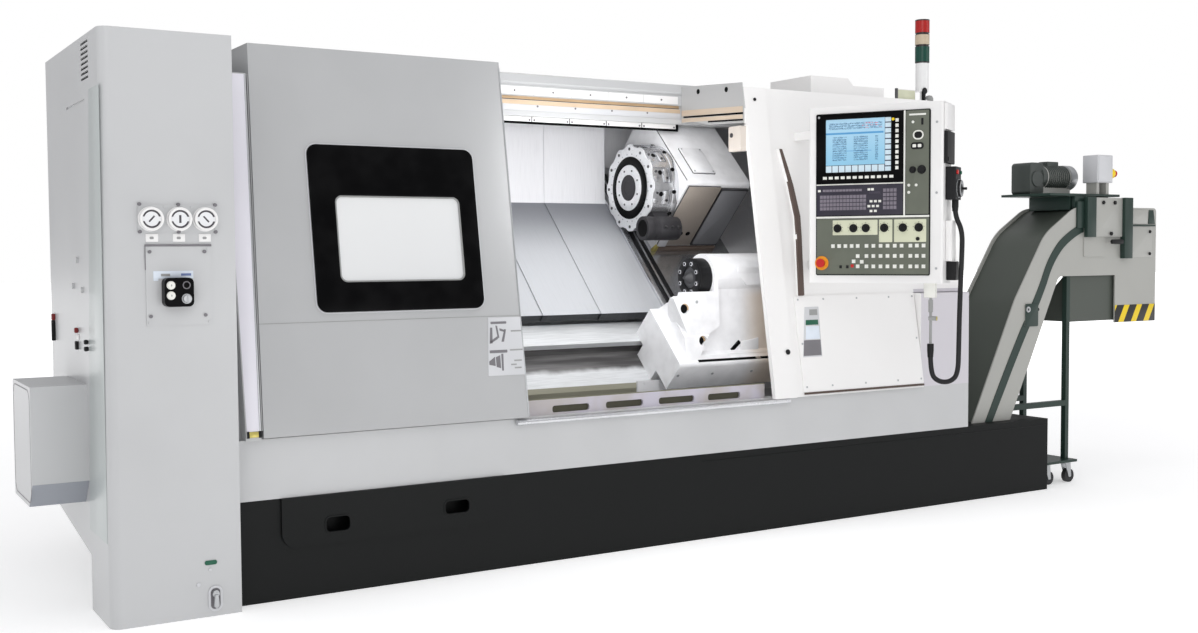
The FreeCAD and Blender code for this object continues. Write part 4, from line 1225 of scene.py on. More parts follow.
# ---- door and left front -----------------------------------------------------------------
@dataclass
class Door:
    """Window, plates and edges of the sliding door."""

    left: float = 0.81
    right: float = 1.52
    low: float = 1.088
    high: float = 1.738

    def build(self) -> None:
        """Build every piece of the door."""
        self.window()
        self.pictograms()
        self.edges()

    def window(self) -> None:
        """Black frame round the glass with its gasket."""
        up = ShopFrames.up
        maker = Maker("window_frame", FRAMES.slant)
        inner = rounded(0.9085, 1.4475, up(1.2004), up(1.5416), 0.03, 10)
        outer = rounded(self.left - 0.002, self.right + 0.002, up(self.low - 0.002),
                        up(self.high + 0.002), 0.04, 10)
        maker.colour(0).frame(outer, inner, Y, -0.012, -0.0004, 0.0045, 3)
        rim = rounded(0.915, 1.441, up(1.2068), up(1.5352), 0.025, 10)
        maker.colour(1).frame(inner, rim, Y, -0.006, -0.0005, 0.0012)
        halo = rounded(self.left - 0.008, self.right + 0.008, up(self.low - 0.008),
                       up(self.high + 0.008), 0.046, 10)
        maker.colour(2).frame(halo, outer, Y, -0.003, -0.0004, 0.001)
        maker.done((GLOSS, GREY, FAINT), "black_plastic", "door")

    def pictograms(self) -> None:
        """Pale plate with two line pictograms and faint bars low on the door."""
        up = ShopFrames.up
        maker = Maker("door_plates", FRAMES.slant)
        face = (Y, -0.0022, -0.0014)
        maker.colour(0).prism(
            [(1.515, up(0.807)), (1.6895, up(0.805)), (1.6895, up(1.044)), (1.536, up(1.046))], Y,
            -0.0016, -TIGHT, 0.0004)
        maker.colour(1)
        for low, high, x0, x1 in ((1.018, 1.028, 1.545, 1.618), (0.899, 0.911, 1.53, 1.612)):
            maker.prism(rounded(x0, x1, up(low), up(high), 0.003), *face)
        strokes = (
            ((1.541, 1.004), (1.551, 1.004), (1.547, 0.94), (1.533, 0.938)),
            ((1.566, 1.012), (1.574, 1.01), (1.58, 0.962), (1.572, 0.958)),
            ((1.536, 0.948), (1.572, 0.968), (1.572, 0.956), (1.536, 0.938)),
            ((1.606, 0.996), (1.614, 0.994), (1.6, 0.944), (1.588, 0.944)),
            ((1.584, 1.0), (1.608, 0.992), (1.606, 0.984), (1.584, 0.99)),
            ((1.582, 0.895), (1.592, 0.895), (1.588, 0.826), (1.58, 0.826)),
            ((1.524, 0.866), (1.552, 0.884), (1.552, 0.846), (1.524, 0.852)),
            ((1.556, 0.882), (1.577, 0.89), (1.576, 0.836), (1.556, 0.842)))
        for stroke in strokes:
            maker.prism([(x, up(z)) for x, z in stroke], *face)
        maker.colour(2)
        for z, x0, x1 in ((0.984, 1.636, 1.684), (0.906, 1.624, 1.684), (0.862, 1.64, 1.676),
                          (0.846, 1.624, 1.65), (0.832, 1.64, 1.672)):
            maker.block((x0, -0.0022, up(z)), (x1, -0.0014, up(z + 0.006)))
        maker.done((FAINT, SHADE, GREY), "cabinet_paint", "door")

    def edges(self) -> None:
        """Strip on the fixed post with its foot block, and the door's wiper edge and seam."""
        up = ShopFrames.up
        low, high = up(0.656), up(2.004)
        maker = Maker("post_strip", FRAMES.slant)
        lean = (0.594 - 0.558) * (high - low) / (up(2.008) + 0.02)
        right = 0.5555
        maker.colour(0).prism(
            [(0.5035, low), (right, low), (right + lean, high), (0.5035, high)], Y, 0.0058, 0.008,
            0.0007)
        maker.colour(1).prism(
            [(right - 0.004, low), (right + 0.002, low), (right + 0.002 + lean, high),
             (right - 0.004 + lean, high)], Y, 0.004, 0.0085, 0.001)
        maker.colour(2).block((0.513, 0.003, up(0.634)), (0.548, 0.008, up(0.655)), 0.0015)
        maker.colour(3).block((0.503, 0.002, up(0.632)), (0.513, 0.008, up(0.657)), 0.0015)
        maker.block((0.548, 0.002, up(0.632)), (0.558, 0.008, up(0.657)), 0.0015)
        door, door_high = self.edge(0.656), self.edge(2.004)
        maker.colour(4).prism(
            [(0.5595, low), (door, low), (door_high, high), (0.5955, high)], Y, 0.003, 0.0062,
            0.0005)
        maker.block((0.4985, 0.003, up(0.634)), (0.5036, 0.0062, high), 0.0005)
        maker.done(
            (LILAC, ZINC, BRASS, BLACK, Paint("joint_grey", srgb(158, 159, 160))), "white_paint")
        maker = Maker("door_edge_strip", FRAMES.slant)
        maker.colour(0).block((1.685, -0.0024, 0.014), (1.6906, 0.0406, up(2.1)), 0.001)
        maker.colour(1).block((0.57, -0.0008, up(1.0495)), (1.6848, -TIGHT, up(1.052)))
        maker.done((ZINC, GREY), "door_paint", "door")

    @staticmethod
    def edge(height: float) -> float:
        """Place along the machine just left of the door's leaning edge at a height."""
        up = ShopFrames.up
        return 0.5632 + 0.04 * (up(height) - 0.008) / (up(2.125) - 0.008)


# ---- base, beam and right end ------------------------------------------------------------
@dataclass
class Base:
    """Seams and rims of the plinth and base."""

    front: float = PLINTH_CORNER[1]

    def build(self) -> None:
        """Build the pieces of the base."""
        maker = Maker("plinth_rims")
        y = self.front
        for x0, x1, z0, z1 in ((0.804, 0.912, 0.237, 0.306), (1.306, 1.425, 0.252, 0.316)):
            maker.frame(rounded(x0, x1, z0, z1, 0.022),
                        rounded(x0 + 0.0065, x1 - 0.0065, z0 + 0.0065, z1 - 0.0065, 0.0176), Y,
                        y - 0.0145, y - 0.011, 0.001)
        maker.block((2.6, y - 0.0016, 0.355), (4.93, y - GAP, 0.3585), 0.0004)
        maker.done((DARK,), "dark_paint")
        maker = Maker("sill_shadow")
        maker.block((1.8, 0.1348, 0.6215), (2.9, 0.1368, 0.6655))
        maker.done((OLIVE_DARK,), "dark_paint")


@dataclass
class Beam:
    """Pale wear strips and screws along the beam over the opening."""

    left: float = 1.72
    face: float = 0.8
    pitch: float = 0.21

    def build(self) -> None:
        """Build the beam's strips and screws."""
        maker = Maker("beam_strips")
        y = self.face
        steps = [self.left + self.pitch * index for index in range(6)]
        for x in steps:
            maker.colour(0)
            maker.block((x, y - 0.003, 2.062), (x + self.pitch - 0.003, y - GAP, 2.1), 0.0008)
            maker.block(
                (x, y + 0.0145, 1.9376), (x + self.pitch - 0.005, y + 0.0172, 1.9606), 0.0006)
        # Tone 3 is painted shade: a near-black band behind the lower strips that shows under and
        # between them.
        bands = (
            (3, 0.017, 0.02, 1.9262, 1.9616, 0.0), (4, -0.0016, -GAP, 1.987, 2.016, 0.0004),
            (7, -0.0016, -GAP, 2.0164, 2.0365, 0.0004), (5, 0.0105, 0.0117, 2.0425, 2.0555, 0.0004),
            (6, 0.0103, 0.0117, 2.0385, 2.0424, 0.0))
        for tone, near, far, low, high, bevel in bands:
            maker.colour(tone).block((1.7, y + near, low), (2.992, y + far, high), bevel)
        maker.colour(2).block((1.7, 0.829, 2.1285), (2.45, 0.8317, 2.1635), 0.0006)
        maker.colour(0).block((2.456, 0.829, 2.1285), (2.99, 0.8317, 2.1635), 0.0006)
        maker.done((WHITE, CREAM_PLATE, CREAM, HOLE_SHADE, FAINT, TAN, UMBER,
                    Moulded("sand_strip", srgb(204, 182, 156), 0.5)), "white_paint")
        points = [(x + self.pitch / 2, 2.08, 0.0) for x in steps]
        points += [(x + 0.02, 2.01, -0.002) for x in steps]
        points += [(x + end, 1.9455, -0.018) for x in steps for end in (0.01, 0.194)]
        place = facing(FRAMES.shop, y - 0.0036)
        STUDS.run("beam_screws", points, place, SHADE, "machine", "zinc", Size_X=0.01,
                  Height=0.0024, Round=True)


@dataclass
class RightEnd:
    """Fittings of the pillar, the panelled body beside it and its roof."""

    gusset: float = 2.994

    def build(self) -> None:
        """Build every piece of the right end."""
        self.pillar()
        self.panel()
        self.roof()

    def pillar(self) -> None:
        """Black bolts, the stop's bolt, and the gusset's grooves and rails."""
        up = ShopFrames.up
        maker = Maker("pillar_bolts", FRAMES.slant)
        maker.colour(0).rod((3.1, -0.007, up(0.835)), Y, 0.0068, 0.0125, 28, 0.0015)
        maker.rod((3.06, -0.007, up(2.04)), Y, 0.0068, 0.008, 20, 0.0015)
        maker.done((BLACK,), "black_plastic")
        maker = Maker("gusset_rails")
        x = self.gusset
        # Painted shade: near-black grooves and holes on the gusset.
        maker.colour(0).prism(
            [(0.28, 1.968), (0.77, 1.991), (0.77, 1.999), (0.28, 1.977)], X, x - 0.0022, x - GAP,
            0.0004)
        maker.prism([(0.28, 1.937), (0.56, 1.951), (0.56, 1.959), (0.28, 1.945)], X, x - 0.0022,
                    x - GAP, 0.0004)
        for y, z in ((0.644, 2.112), (0.412, 2.098)):
            maker.rod((x - 0.0012, y, z), X, 0.001, 0.013, 24)
        maker.colour(1).prism(
            [(0.282, 1.978), (0.785, 2.001), (0.785, 2.03), (0.282, 2.006)], X, x - 0.003, x - GAP,
            0.0006)
        maker.prism([(0.282, 1.947), (0.785, 1.969), (0.785, 1.989), (0.282, 1.966)], X, x - 0.0026,
                    x - GAP, 0.0006)
        maker.colour(2).rod((2.956, 0.326, 1.868), X, 0.006, 0.011, 24, 0.0015)
        maker.done((HOLE_SHADE, CREAM, STEEL), "white_paint")

    def panel(self) -> None:
        """Service label, the plate's screws and ledge, and the dark edge guard."""
        up = ShopFrames.up
        maker = Maker("service_plate", FRAMES.slant)
        spans = ((0, 0.806, 1.044, 0.0, 1.0), (1, 0.812, 0.886, 0.02, 0.97),
                 (2, 0.89, 0.952, 0.12, 0.94), (3, 0.958, 0.982, 0.1, 0.9),
                 (4, 1.004, 1.032, 0.34, 0.88))
        for tone, low, high, first, last in spans:
            sides = []
            for share in (first, last):
                for z in (low, high):
                    left = 3.197 + (z - 0.812) * 0.17
                    sides.append((left + share * (0.118 - (z - 0.812) * 0.13), up(z)))
            lift = 0.0036 if tone else 0.0044
            maker.colour(tone).prism(
                [sides[0], sides[2], sides[3], sides[1]], Y, lift, 0.0048, 0.0002)
        maker.done((FAINT, SHADE, BLUISH, GREEN, GREY), "white_paint")
        route = [(3.183, 1.804, 0.009), (3.2035, 1.72, 0.012), (3.224, 1.63, 0.014),
                 (3.246, 1.48, 0.015), (3.241, 1.38, 0.015), (3.233, 1.286, 0.015),
                 (3.218, 1.098, 0.015)]
        maker = Maker("edge_guard", FRAMES.slant)
        outline = [(x + half, up(z)) for x, z, half in route]
        outline += [(x - half, up(z)) for x, z, half in reversed(route)]
        maker.colour(0).prism(outline, Y, -0.0105, 0.0046, 0.003)
        maker.block((3.18, 0.003, up(0.63)), (3.966, 0.0048, up(0.64)), 0.0004)
        maker.done((UMBER,), "white_paint")
        points = [(x, up(z), 0.0) for x in (3.2, 3.95) for z in (0.665, 0.87, 1.08)]
        points += [(x, up(z), 0.0) for x in (3.36, 3.575, 3.79) for z in (0.665, 1.08)]
        place = facing(FRAMES.slant, 0.0042)
        STUDS.run("service_screws", points, place, ZINC, "machine", "zinc", Size_X=0.01,
                  Height=0.0022, Round=True)

    def roof(self) -> None:
        """Greenish plate, black connector, cable entry and the grey dome on the roof."""
        maker = Maker("roof_plate")
        maker.colour(0).block((4.064, 0.3432, 2.106), (4.186, 0.3457, 2.153), 0.0006)
        maker.colour(1).block((4.05, 0.3425, 2.104), (4.0636, 0.3535, 2.16), 0.0012)
        maker.colour(2).rod((4.226, 0.308, 2.152), Y, 0.01, 0.017, 28, 0.003)
        maker.block((4.219, 0.312, 2.1005), (4.233, 0.33, 2.15), 0.0015)
        maker.colour(3).turned(
            [(2.1002, 0.022), (2.12, 0.0215), (2.133, 0.015), (2.137, 0.0)], (4.296, 0.35, 0), Z,
            28)
        maker.done((CREAM_PLATE, STEEL, BLACK, GREY), "white_paint")


# ---- turret and its slide ----------------------------------------------------------------
@dataclass
class Turret:
    """Face rings, bolts and pockets of the tool turret and its holder."""

    centre: float = 0.635
    face: float = 2.736
    back: float = 2.878
    stations: int = 12
    holder_a: float = 0.341

    def build(self) -> None:
        """Build every piece of the turret."""
        self.rings()
        self.bolts()
        self.pockets()
        self.holder()

    def rings(self) -> None:
        """White rim lobes, black ring, white ring and dark centre."""
        maker = Maker("turret_rings", FRAMES.bed)
        a = self.centre
        maker.colour(0).frame(
            self.lobes(0.2195, 0.2075), circle(a, 0.0, 0.156, 144), X, self.face - 0.0075,
            self.face - GAP, 0.0015)
        maker.colour(1).ring(
            (a, 0.0), 0.1575, 0.114, X, self.face - 0.0105, self.face - 0.0062, 0.0012, 96)
        maker.colour(0).ring(
            (a, 0.0), 0.115, 0.0655, X, self.face - 0.0165, self.face - 0.0122, 0.0015, 72)
        maker.colour(2).turned(
            [(self.face - 0.0122, 0.0652), (self.face - 0.018, 0.065), (self.face - 0.0195, 0.063),
             (self.face - 0.0195, 0.035), (self.face - 0.018, 0.034), (self.face - 0.018, 0.0)],
            (0, a, 0), X, 56)
        maker.done((RIM, GLOSS, IRON), "machined_steel", "turret")

    def lobes(self, high: float, low: float) -> list[tuple]:
        """Outline of the rim with a lobe at each station."""
        points = []
        for step in range(144):
            angle = 2 * math.pi * step / 144
            wave = math.cos(self.stations * (angle - math.pi / 2) + math.pi)
            reach = low + (high - low) * (0.5 + 0.5 * math.tanh(2.2 * wave) / math.tanh(2.2))
            points.append((self.centre + reach * math.cos(angle), reach * math.sin(angle)))
        return points

    def bolts(self) -> None:
        """Bolts of the rim, of the white ring and of the dark centre."""
        turn = Matrix(((0, 0, -1), (1, 0, 0), (0, -1, 0))).to_4x4()
        rows = (("rim", 12, 0.196, 15, 0.0085, STEEL, "dark_steel", 0.015, 0.004),
                ("small", 24, 0.17, 7.5, 0.0082, ZINC, "zinc", 0.007, 0.003),
                ("ring", 8, 0.09, 22.5, 0.0172, STEEL, "dark_steel", 0.0105, 0.003))
        for name, count, reach, first, depth, finish, slot, size, height in rows:
            place = FRAMES.bed @ Matrix.Translation((self.face - depth, 0, 0)) @ turn
            points = [(a, -h, 0.0) for a, h in circle(self.centre, 0.0, reach, count, first)]
            STUDS.run("turret_%s_bolts" % name, points, place, finish, "turret", slot, Size_X=size,
                      Height=height, Round=True)

    def pockets(self) -> None:
        """Pads, coolant holes and clamp bolts on the drum's flats."""
        pads = Maker("turret_pads", FRAMES.bed)
        axis = Matrix.Translation((0, self.centre, 0))
        for index in range(self.stations):
            turn = axis @ Matrix.Rotation(math.radians(90 + 30 * index), 4, "X") @ axis.inverted()
            since = pads.count()
            a = self.centre
            pads.colour(0).block(
                (self.face + 0.002, a - 0.03, 0.2055), (self.face + 0.03, a - 0.006, 0.21), 0.0015)
            pads.colour(0).block((self.face + 0.06, a - 0.034, 0.2055),
                                 (self.face + 0.093, a + 0.034, 0.2135), 0.0015)
            # Painted shade: near-black discs for the coolant holes.
            pads.colour(1).rod((self.face + 0.046, a + 0.016, 0.204), Z, 0.0036, 0.012, 20)
            pads.colour(1).rod((self.face + 0.115, a + 0.03, 0.216), Z, 0.0034, 0.0105, 20)
            pads.colour(2).rod((self.face + 0.078, a - 0.014, 0.213), Z, 0.0036, 0.007, 6)
            pads.colour(2).rod((self.face + 0.022, a + 0.022, 0.205), Z, 0.0045, 0.0065, 6)
            pads.turn_last(turn, since)
        pads.colour(0).ring(
            (self.centre, 0), 0.2192, 0.205, X, self.back - 0.035, self.back - 0.002, 0.002, 72)
        pads.done((BRIGHT, HOLE_SHADE, STEEL), "machined_steel", "turret")

    def holder(self) -> None:
        """Bore, clamp screws and rings of the tool holder."""
        maker = Maker("holder_skin", FRAMES.bed)
        a = self.holder_a
        maker.colour(0).ring((a, 0), 0.0592, 0.042, X, 2.666, 2.714, 0.003, 48)
        # Painted shade: a near-black disc in the bore.
        maker.colour(1).rod((2.6685, a, 0), X, 0.0012, 0.0425, 40)
        maker.colour(2).ring((a, 0), 0.059, 0.056, X, 2.74, 2.85, 0.0012, 48)
        maker.colour(3)
        for x in (2.765, 2.805, 2.84):
            maker.rod((x, a - 0.04, 0.042), Z, 0.012, 0.008, 6, 0.001)
        maker.done((IRON, HOLE_SHADE, IRON, STEEL), "dark_steel", "turret")


@dataclass
class CrossSlide:
    """Skins, covers and wipers of the turret's housing and of the saddle's edge."""

    skin: float = 0.4255

    def build(self) -> None:
        """Build every piece of the slide."""
        self.covers()
        self.top()
        self.edge()

    def covers(self) -> None:
        """Brushed end cover with its holes and corner, and the wiper strip with its brass end."""
        maker = Maker("end_cover_skin", FRAMES.bed)
        y = self.skin
        maker.colour(0).prism(
            [(2.8895, -0.1965), (3.0875, -0.1965), (3.0875, 0.2055), (2.8895, 0.2055)], Y,
            y - 0.004, y - GAP, 0.0015)
        # Painted shade: near-black discs in the cover's two holes.
        maker.colour(1)
        for x in (2.991, 3.036):
            maker.rod((x, y - 0.0062, -0.113), Y, 0.003, 0.0125, 24)
        maker.colour(2).block((2.886, y - 0.006, -0.206), (2.94, y - 0.004, -0.14), 0.001)
        maker.done((BROWN, HOLE_SHADE, RIM), "dark_steel", "cross_slide")
        maker = Maker("slide_wiper", FRAMES.bed)
        maker.colour(0).block((2.9, 0.4205, -0.237), (3.2635, 0.4335, -0.2095), 0.002)
        maker.colour(1).prism(
            [(2.868, -0.237), (2.9, -0.237), (2.9, -0.202), (2.884, -0.202)], Y, 0.418, 0.433,
            0.002)
        maker.colour(2).plate(3.1, 3.256, -0.188, 0.188, 0.01, 0.4185, 0.4208, 0.0008)
        maker.done((Moulded("wiper_brown", srgb(120, 106, 96), 0.5), BRASS, SHEET), "dark_steel",
                   "cross_slide")

    def top(self) -> None:
        """Square cover plate, its screws and the dark joint across the housing."""
        maker = Maker("housing_plate", FRAMES.bed)
        maker.colour(0).plate(2.944, 3.076, 0.504, 0.686, 0.006, 0.2303, 0.2335, 0.0012, Z)
        maker.colour(1).frame(
            rounded(2.94, 3.08, 0.5, 0.69, 0.008), rounded(2.9435, 3.0765, 0.5035, 0.6865, 0.006),
            Z, 0.2253, 0.2275)
        maker.colour(1).block((2.879, 0.45, 0.2215), (2.8812, 0.98, 0.2258), 0.0004)
        maker.done((CASTING, STEEL), "casting", "cross_slide")
        points = [(x, a, 0) for x in (2.953, 3.067) for a in (0.513, 0.677)]
        STUDS.run("housing_screws", points, FRAMES.bed @ Matrix.Translation((0, 0, 0.2342)), ZINC,
                  "cross_slide", "zinc", Size_X=0.01, Height=0.0022, Round=True)

    def edge(self) -> None:
        """Bright strip and two rubber lips down the saddle's edge."""
        maker = Maker("saddle_lips", FRAMES.bed)
        for x in (2.79, 2.83):
            maker.colour(0).block((x - 0.001, 0.039, -0.2376), (x + 0.023, 1.001, -0.2312), 0.0015)
            maker.colour(0).block((x + 0.007, 0.04, -0.2313), (x + 0.014, 1.0, -0.2285), 0.001)
        maker.colour(1).block((2.7565, 0.026, -0.2376), (2.784, 1.001, -0.2332), 0.0012)
        maker.colour(1).block((2.813, 0.04, -0.2376), (2.8285, 1.0, -0.234), 0.001)
        maker.done(
            (Moulded("lip_rubber", srgb(24, 24, 26), 0.45), BRIGHT), "machined_steel", "carriage")


# ---- tailstock and chuck -----------------------------------------------------------------
@dataclass
class Tailstock:
    """Quill bolts, plates, slots and screws of the tailstock."""

    quill_face: float = 2.781

    def build(self) -> None:
        """Build every piece of the tailstock."""
        self.quill()
        self.fittings()

    def quill(self) -> None:
        """Bolts, inner ring and centre of the quill's disc."""
        y, z = SPINDLE_AXIS
        maker = Maker("quill_rings")
        x = self.quill_face
        maker.colour(0).ring((y, z), 0.094, 0.0505, X, x - 0.006, x - GAP, 0.002, 56)
        maker.colour(1).turned(
            [(x + 0.0078, 0.05), (x - 0.002, 0.048), (x - 0.004, 0.03), (x - 0.03, 0.012),
             (x - 0.046, 0.0)], (0, y, z), X, 40)
        maker.colour(0).ring((y, z), 0.0938, 0.0932, X, x - 0.0004, x + 0.0646, steps=64)
        for cy, cz in circle(y, z, 0.0715, 8, 22.5):
            maker.colour(2).rod((x - 0.015, cy, cz), X, 0.0092, 0.012, 6, 0.0015)
            maker.colour(0).rod((x - 0.0158, cy, cz), X, 0.001, 0.0058, 16)
        maker.done((BLACK, STEEL, BRIGHT), "dark_steel", "quill")

    def fittings(self) -> None:
        """Plates, slots and screws on the head and on the foot."""
        maker = Maker("head_plate")
        maker.colour(0).plate(2.985, 3.18, 1.206, 1.236, 0.004, 0.306, 0.311)
        maker.prism(
            [(2.988, 0.836), (2.992, 0.876), (3.1, 0.893), (3.1, 0.836)], Y, 0.2955, 0.303, 0.001)
        # Painted shade: near-black slot and holes on the head.
        maker.colour(1).prism(
            [(2.93, 0.843), (2.946, 0.832), (2.996, 0.872), (2.981, 0.885)], Y, 0.2975, 0.303)
        maker.colour(2).rod((2.732, 0.295, 1.075), Y, 0.01, 0.0075, 20, 0.001)
        for x, z in ((2.661, 1.045), (2.756, 0.891)):
            maker.colour(3).rod((x + 0.006, 0.2974, z + 0.011), Y, 0.0024, 0.0225, 32)
            maker.colour(1).rod((x - 0.006, 0.2962, z - 0.001), Y, 0.0036, 0.021, 32)
        maker.done((CASTING, HOLE_SHADE, ZINC, TAN), "casting", "tailstock")
        maker = Maker("foot_slot", FRAMES.bed)
        # Painted shade: near-black blocks in the slot between foot and web.
        maker.block((2.712, -0.396, -0.1606), (3.055, -0.3815, -0.1594))
        maker.block((3.085, -0.396, -0.1606), (3.33, -0.3815, -0.1594))
        maker.done((HOLE_SHADE,), "casting", "tailstock")
        points = [(x, -0.233, 0) for x in (2.62, 2.82, 3.055, 3.29)]
        STUDS.run("foot_screws", points, facing(FRAMES.bed, -0.4105), ZINC, "tailstock", "zinc",
                  Size_X=0.014, Height=0.004, Round=True)


@dataclass
class Spindle:
    """Bolts and face grooves of the chuck."""

    face: float = 1.64

    def build(self) -> None:
        """Build the chuck's pieces."""
        y, z = SPINDLE_AXIS
        maker = Maker("chuck_rings")
        for reach in (0.06, 0.116):
            maker.colour(0).ring(
                (y, z), reach + 0.0022, reach, X, self.face + GAP, self.face + 0.0012, steps=72)
        for cy, cz in circle(y, z, 0.102, 3, 30):
            maker.colour(1).rod((self.face + GAP, cy, cz), X, 0.003, 0.013, 20, 0.001)
        maker.colour(2).ring((y, z), 0.1508, 0.144, X, 1.456, 1.472, 0.001, 96)
        maker.done((STEEL, ZINC, STEEL), "machined_steel", "spindle")


# ---- control panel -----------------------------------------------------------------------
@dataclass
class ControlPanel:
    """Display, keys, knobs' plates and side units of the swinging panel."""

    face: float = -0.0042
    plate: float = -0.0072
    raised: float = -0.0084
    button_columns: tuple[float, ...] = (
        0.237, 0.278, 0.31, 0.343, 0.375, 0.408, 0.439, 0.479, 0.508, 0.538)

    def build(self) -> None:
        """Build every piece of the panel."""
        self.bezel()
        self.keyboard()
        self.column()
        self.operator()
        self.side()

    def off(self, depth: float = 0.0) -> Matrix:
        """Frame on the panel's face: X along it, Y up and Z towards the operator."""
        return facing(FRAMES.panel, depth)

    def bezel(self) -> None:
        """Black frame round the display, its dividers and its soft keys."""
        maker = Maker("display_bezel", FRAMES.panel)
        maker.colour(0).frame(
            rounded(0.0385, 0.4445, 1.619, 1.9375, 0.006),
            rounded(0.084, 0.388, 1.671, 1.912, 0.003), Y, -0.0105, self.face, 0.0022)
        maker.colour(1).block((0.445, -0.0088, 1.47), (0.453, self.face, 1.9375), 0.0012)
        maker.block((0.0385, self.raised, 1.461), (0.561, self.face, 1.47), 0.0012)
        maker.block((0.0385, -0.008, 1.613), (0.444, self.face, 1.6185), 0.001)
        maker.done((GLOSS, PALE), "black_plastic", "control_panel")
        ROWS.run("soft_keys", (), self.off(-0.0113) @ Matrix.Translation((0.236, 1.646, 0)), PALE,
                 "control_panel", "white_paint", Size_X=0.0185, Size_Y=0.0125, Height=0.0026,
                 Corner=0.0016, Columns=12, Rows=1, Pitch_X=0.0282, Pitch_Y=0.02)
        ROWS.run("side_keys", (), self.off(-0.0113) @ Matrix.Translation((0.416, 1.79, 0)), PALE,
                 "control_panel", "white_paint", Size_X=0.014, Size_Y=0.015, Height=0.0026,
                 Corner=0.0016, Columns=1, Rows=10, Pitch_X=0.02, Pitch_Y=0.0236)
        maker = Maker("display_marks", FRAMES.panel)
        maker.colour(0).plate(0.3905, 0.404, 1.895, 1.908, 0.006, -0.0116, -0.01, 0.0006)
        maker.colour(1).rod((0.052, -0.0122, 1.924), Y, 0.002, 0.0055, 20, 0.0006)
        maker.done((YELLOW, ZINC), "black_plastic", "control_panel")

    def keyboard(self) -> None:
        """Dusky keyboard with its rows, cursor keys and number pad."""
        maker = Maker("keyboard_plate", FRAMES.panel)
        maker.colour(0).plate(0.041, 0.443, 1.474, 1.612, 0.004, -0.0086, self.plate, 0.0006)
        maker.colour(1).block((0.07, -0.0094, 1.5805), (0.256, self.raised, 1.596), 0.0004)
        maker.block((0.056, -0.0094, 1.4955), (0.276, self.raised, 1.569), 0.0004)
        maker.block((0.352, -0.0094, 1.4955), (0.416, self.raised, 1.595), 0.0004)
        maker.block((0.288, -0.0094, 1.57), (0.34, self.raised, 1.58), 0.0004)
        maker.done((DUSK, Moulded("key_gap", srgb(60, 56, 68), 0.5)), "dark_paint", "control_panel")
        grids = (("keys_letters", 0.166, 1.5325, 14, 4, 0.0157, 0.0178, 0.0128, 0.014),
                 ("keys_top", 0.163, 1.5883, 12, 1, 0.0155, 0.016, 0.013, 0.01),
                 ("keys_numbers", 0.384, 1.5455, 4, 5, 0.016, 0.0194, 0.013, 0.015))
        for name, x, z, columns, rows, pitch_x, pitch_y, size_x, size_y in grids:
            ROWS.run(name, (), self.off(-0.01) @ Matrix.Translation((x, z, 0)),
                     Moulded("key_grey", srgb(124, 118, 128), 0.5), "control_panel", "white_paint",
                     Size_X=size_x, Size_Y=size_y, Height=0.0022, Corner=0.0012, Columns=columns,
                     Rows=rows, Pitch_X=pitch_x, Pitch_Y=pitch_y)
        points = [(0.298, 1.536, 0), (0.318, 1.536, 0), (0.338, 1.536, 0), (0.288, 1.514, 0),
                  (0.308, 1.514, 0), (0.328, 1.514, 0), (0.298, 1.492, 0), (0.318, 1.492, 0),
                  (0.054, 1.588, 0), (0.288, 1.59, 0), (0.304, 1.59, 0)]
        STUDS.run("keys_cursor", points, self.off(-0.01), PALE, "control_panel", "white_paint",
                  Size_X=0.0125, Size_Y=0.0105, Height=0.0022, Corner=0.0012, Round=False)

    def column(self) -> None:
        """Column of small fittings at the right of the display."""
        maker = Maker("column_fittings", FRAMES.panel)
        maker.colour(0).plate(0.4555, 0.559, 1.4745, 1.9355, 0.004, -0.0086, self.plate, 0.0006)
        maker.colour(1).block((0.47, -0.0094, 1.913), (0.545, self.raised, 1.921), 0.0003)
        maker.rod((0.487, -0.0112, 1.884), Y, 0.0028, 0.0062, 20, 0.0008)
        maker.frame(rounded(0.487, 0.535, 1.805, 1.847, 0.02),
                    rounded(0.493, 0.529, 1.811, 1.841, 0.014), Y, -0.0112, self.raised, 0.0008)
        maker.plate(0.486, 0.502, 1.771, 1.785, 0.003, -0.013, -0.011, 0.0006)
        maker.plate(0.51, 0.526, 1.771, 1.785, 0.003, -0.013, -0.011, 0.0006)
        for u, z in ((0.47, 1.604), (0.503, 1.604), (0.47, 1.572)):
            maker.rod((u, -0.0116, z), Y, 0.0032, 0.0066, 20, 0.001)
        maker.colour(2).plate(0.4945, 0.5275, 1.8125, 1.8395, 0.012, -0.0102, self.raised, 0.0006)
        maker.plate(0.478, 0.536, 1.763, 1.793, 0.013, -0.0112, self.raised, 0.001)
        maker.block((0.524, -0.0104, 1.87), (0.534, self.raised, 1.9), 0.0014)
        for u, radius in ((0.487, 0.0125), (0.527, 0.0165)):
            maker.turned(
                [(self.raised, radius + 0.003), (-0.0104, radius + 0.003), (-0.0112, radius),
                 (-0.021, radius * 0.92), (-0.0226, radius * 0.8), (-0.0226, 0.0)], (u, 0, 1.672),
                Y, 28)
        maker.done((OLIVE, PALE, BLACK), "dark_paint", "control_panel")

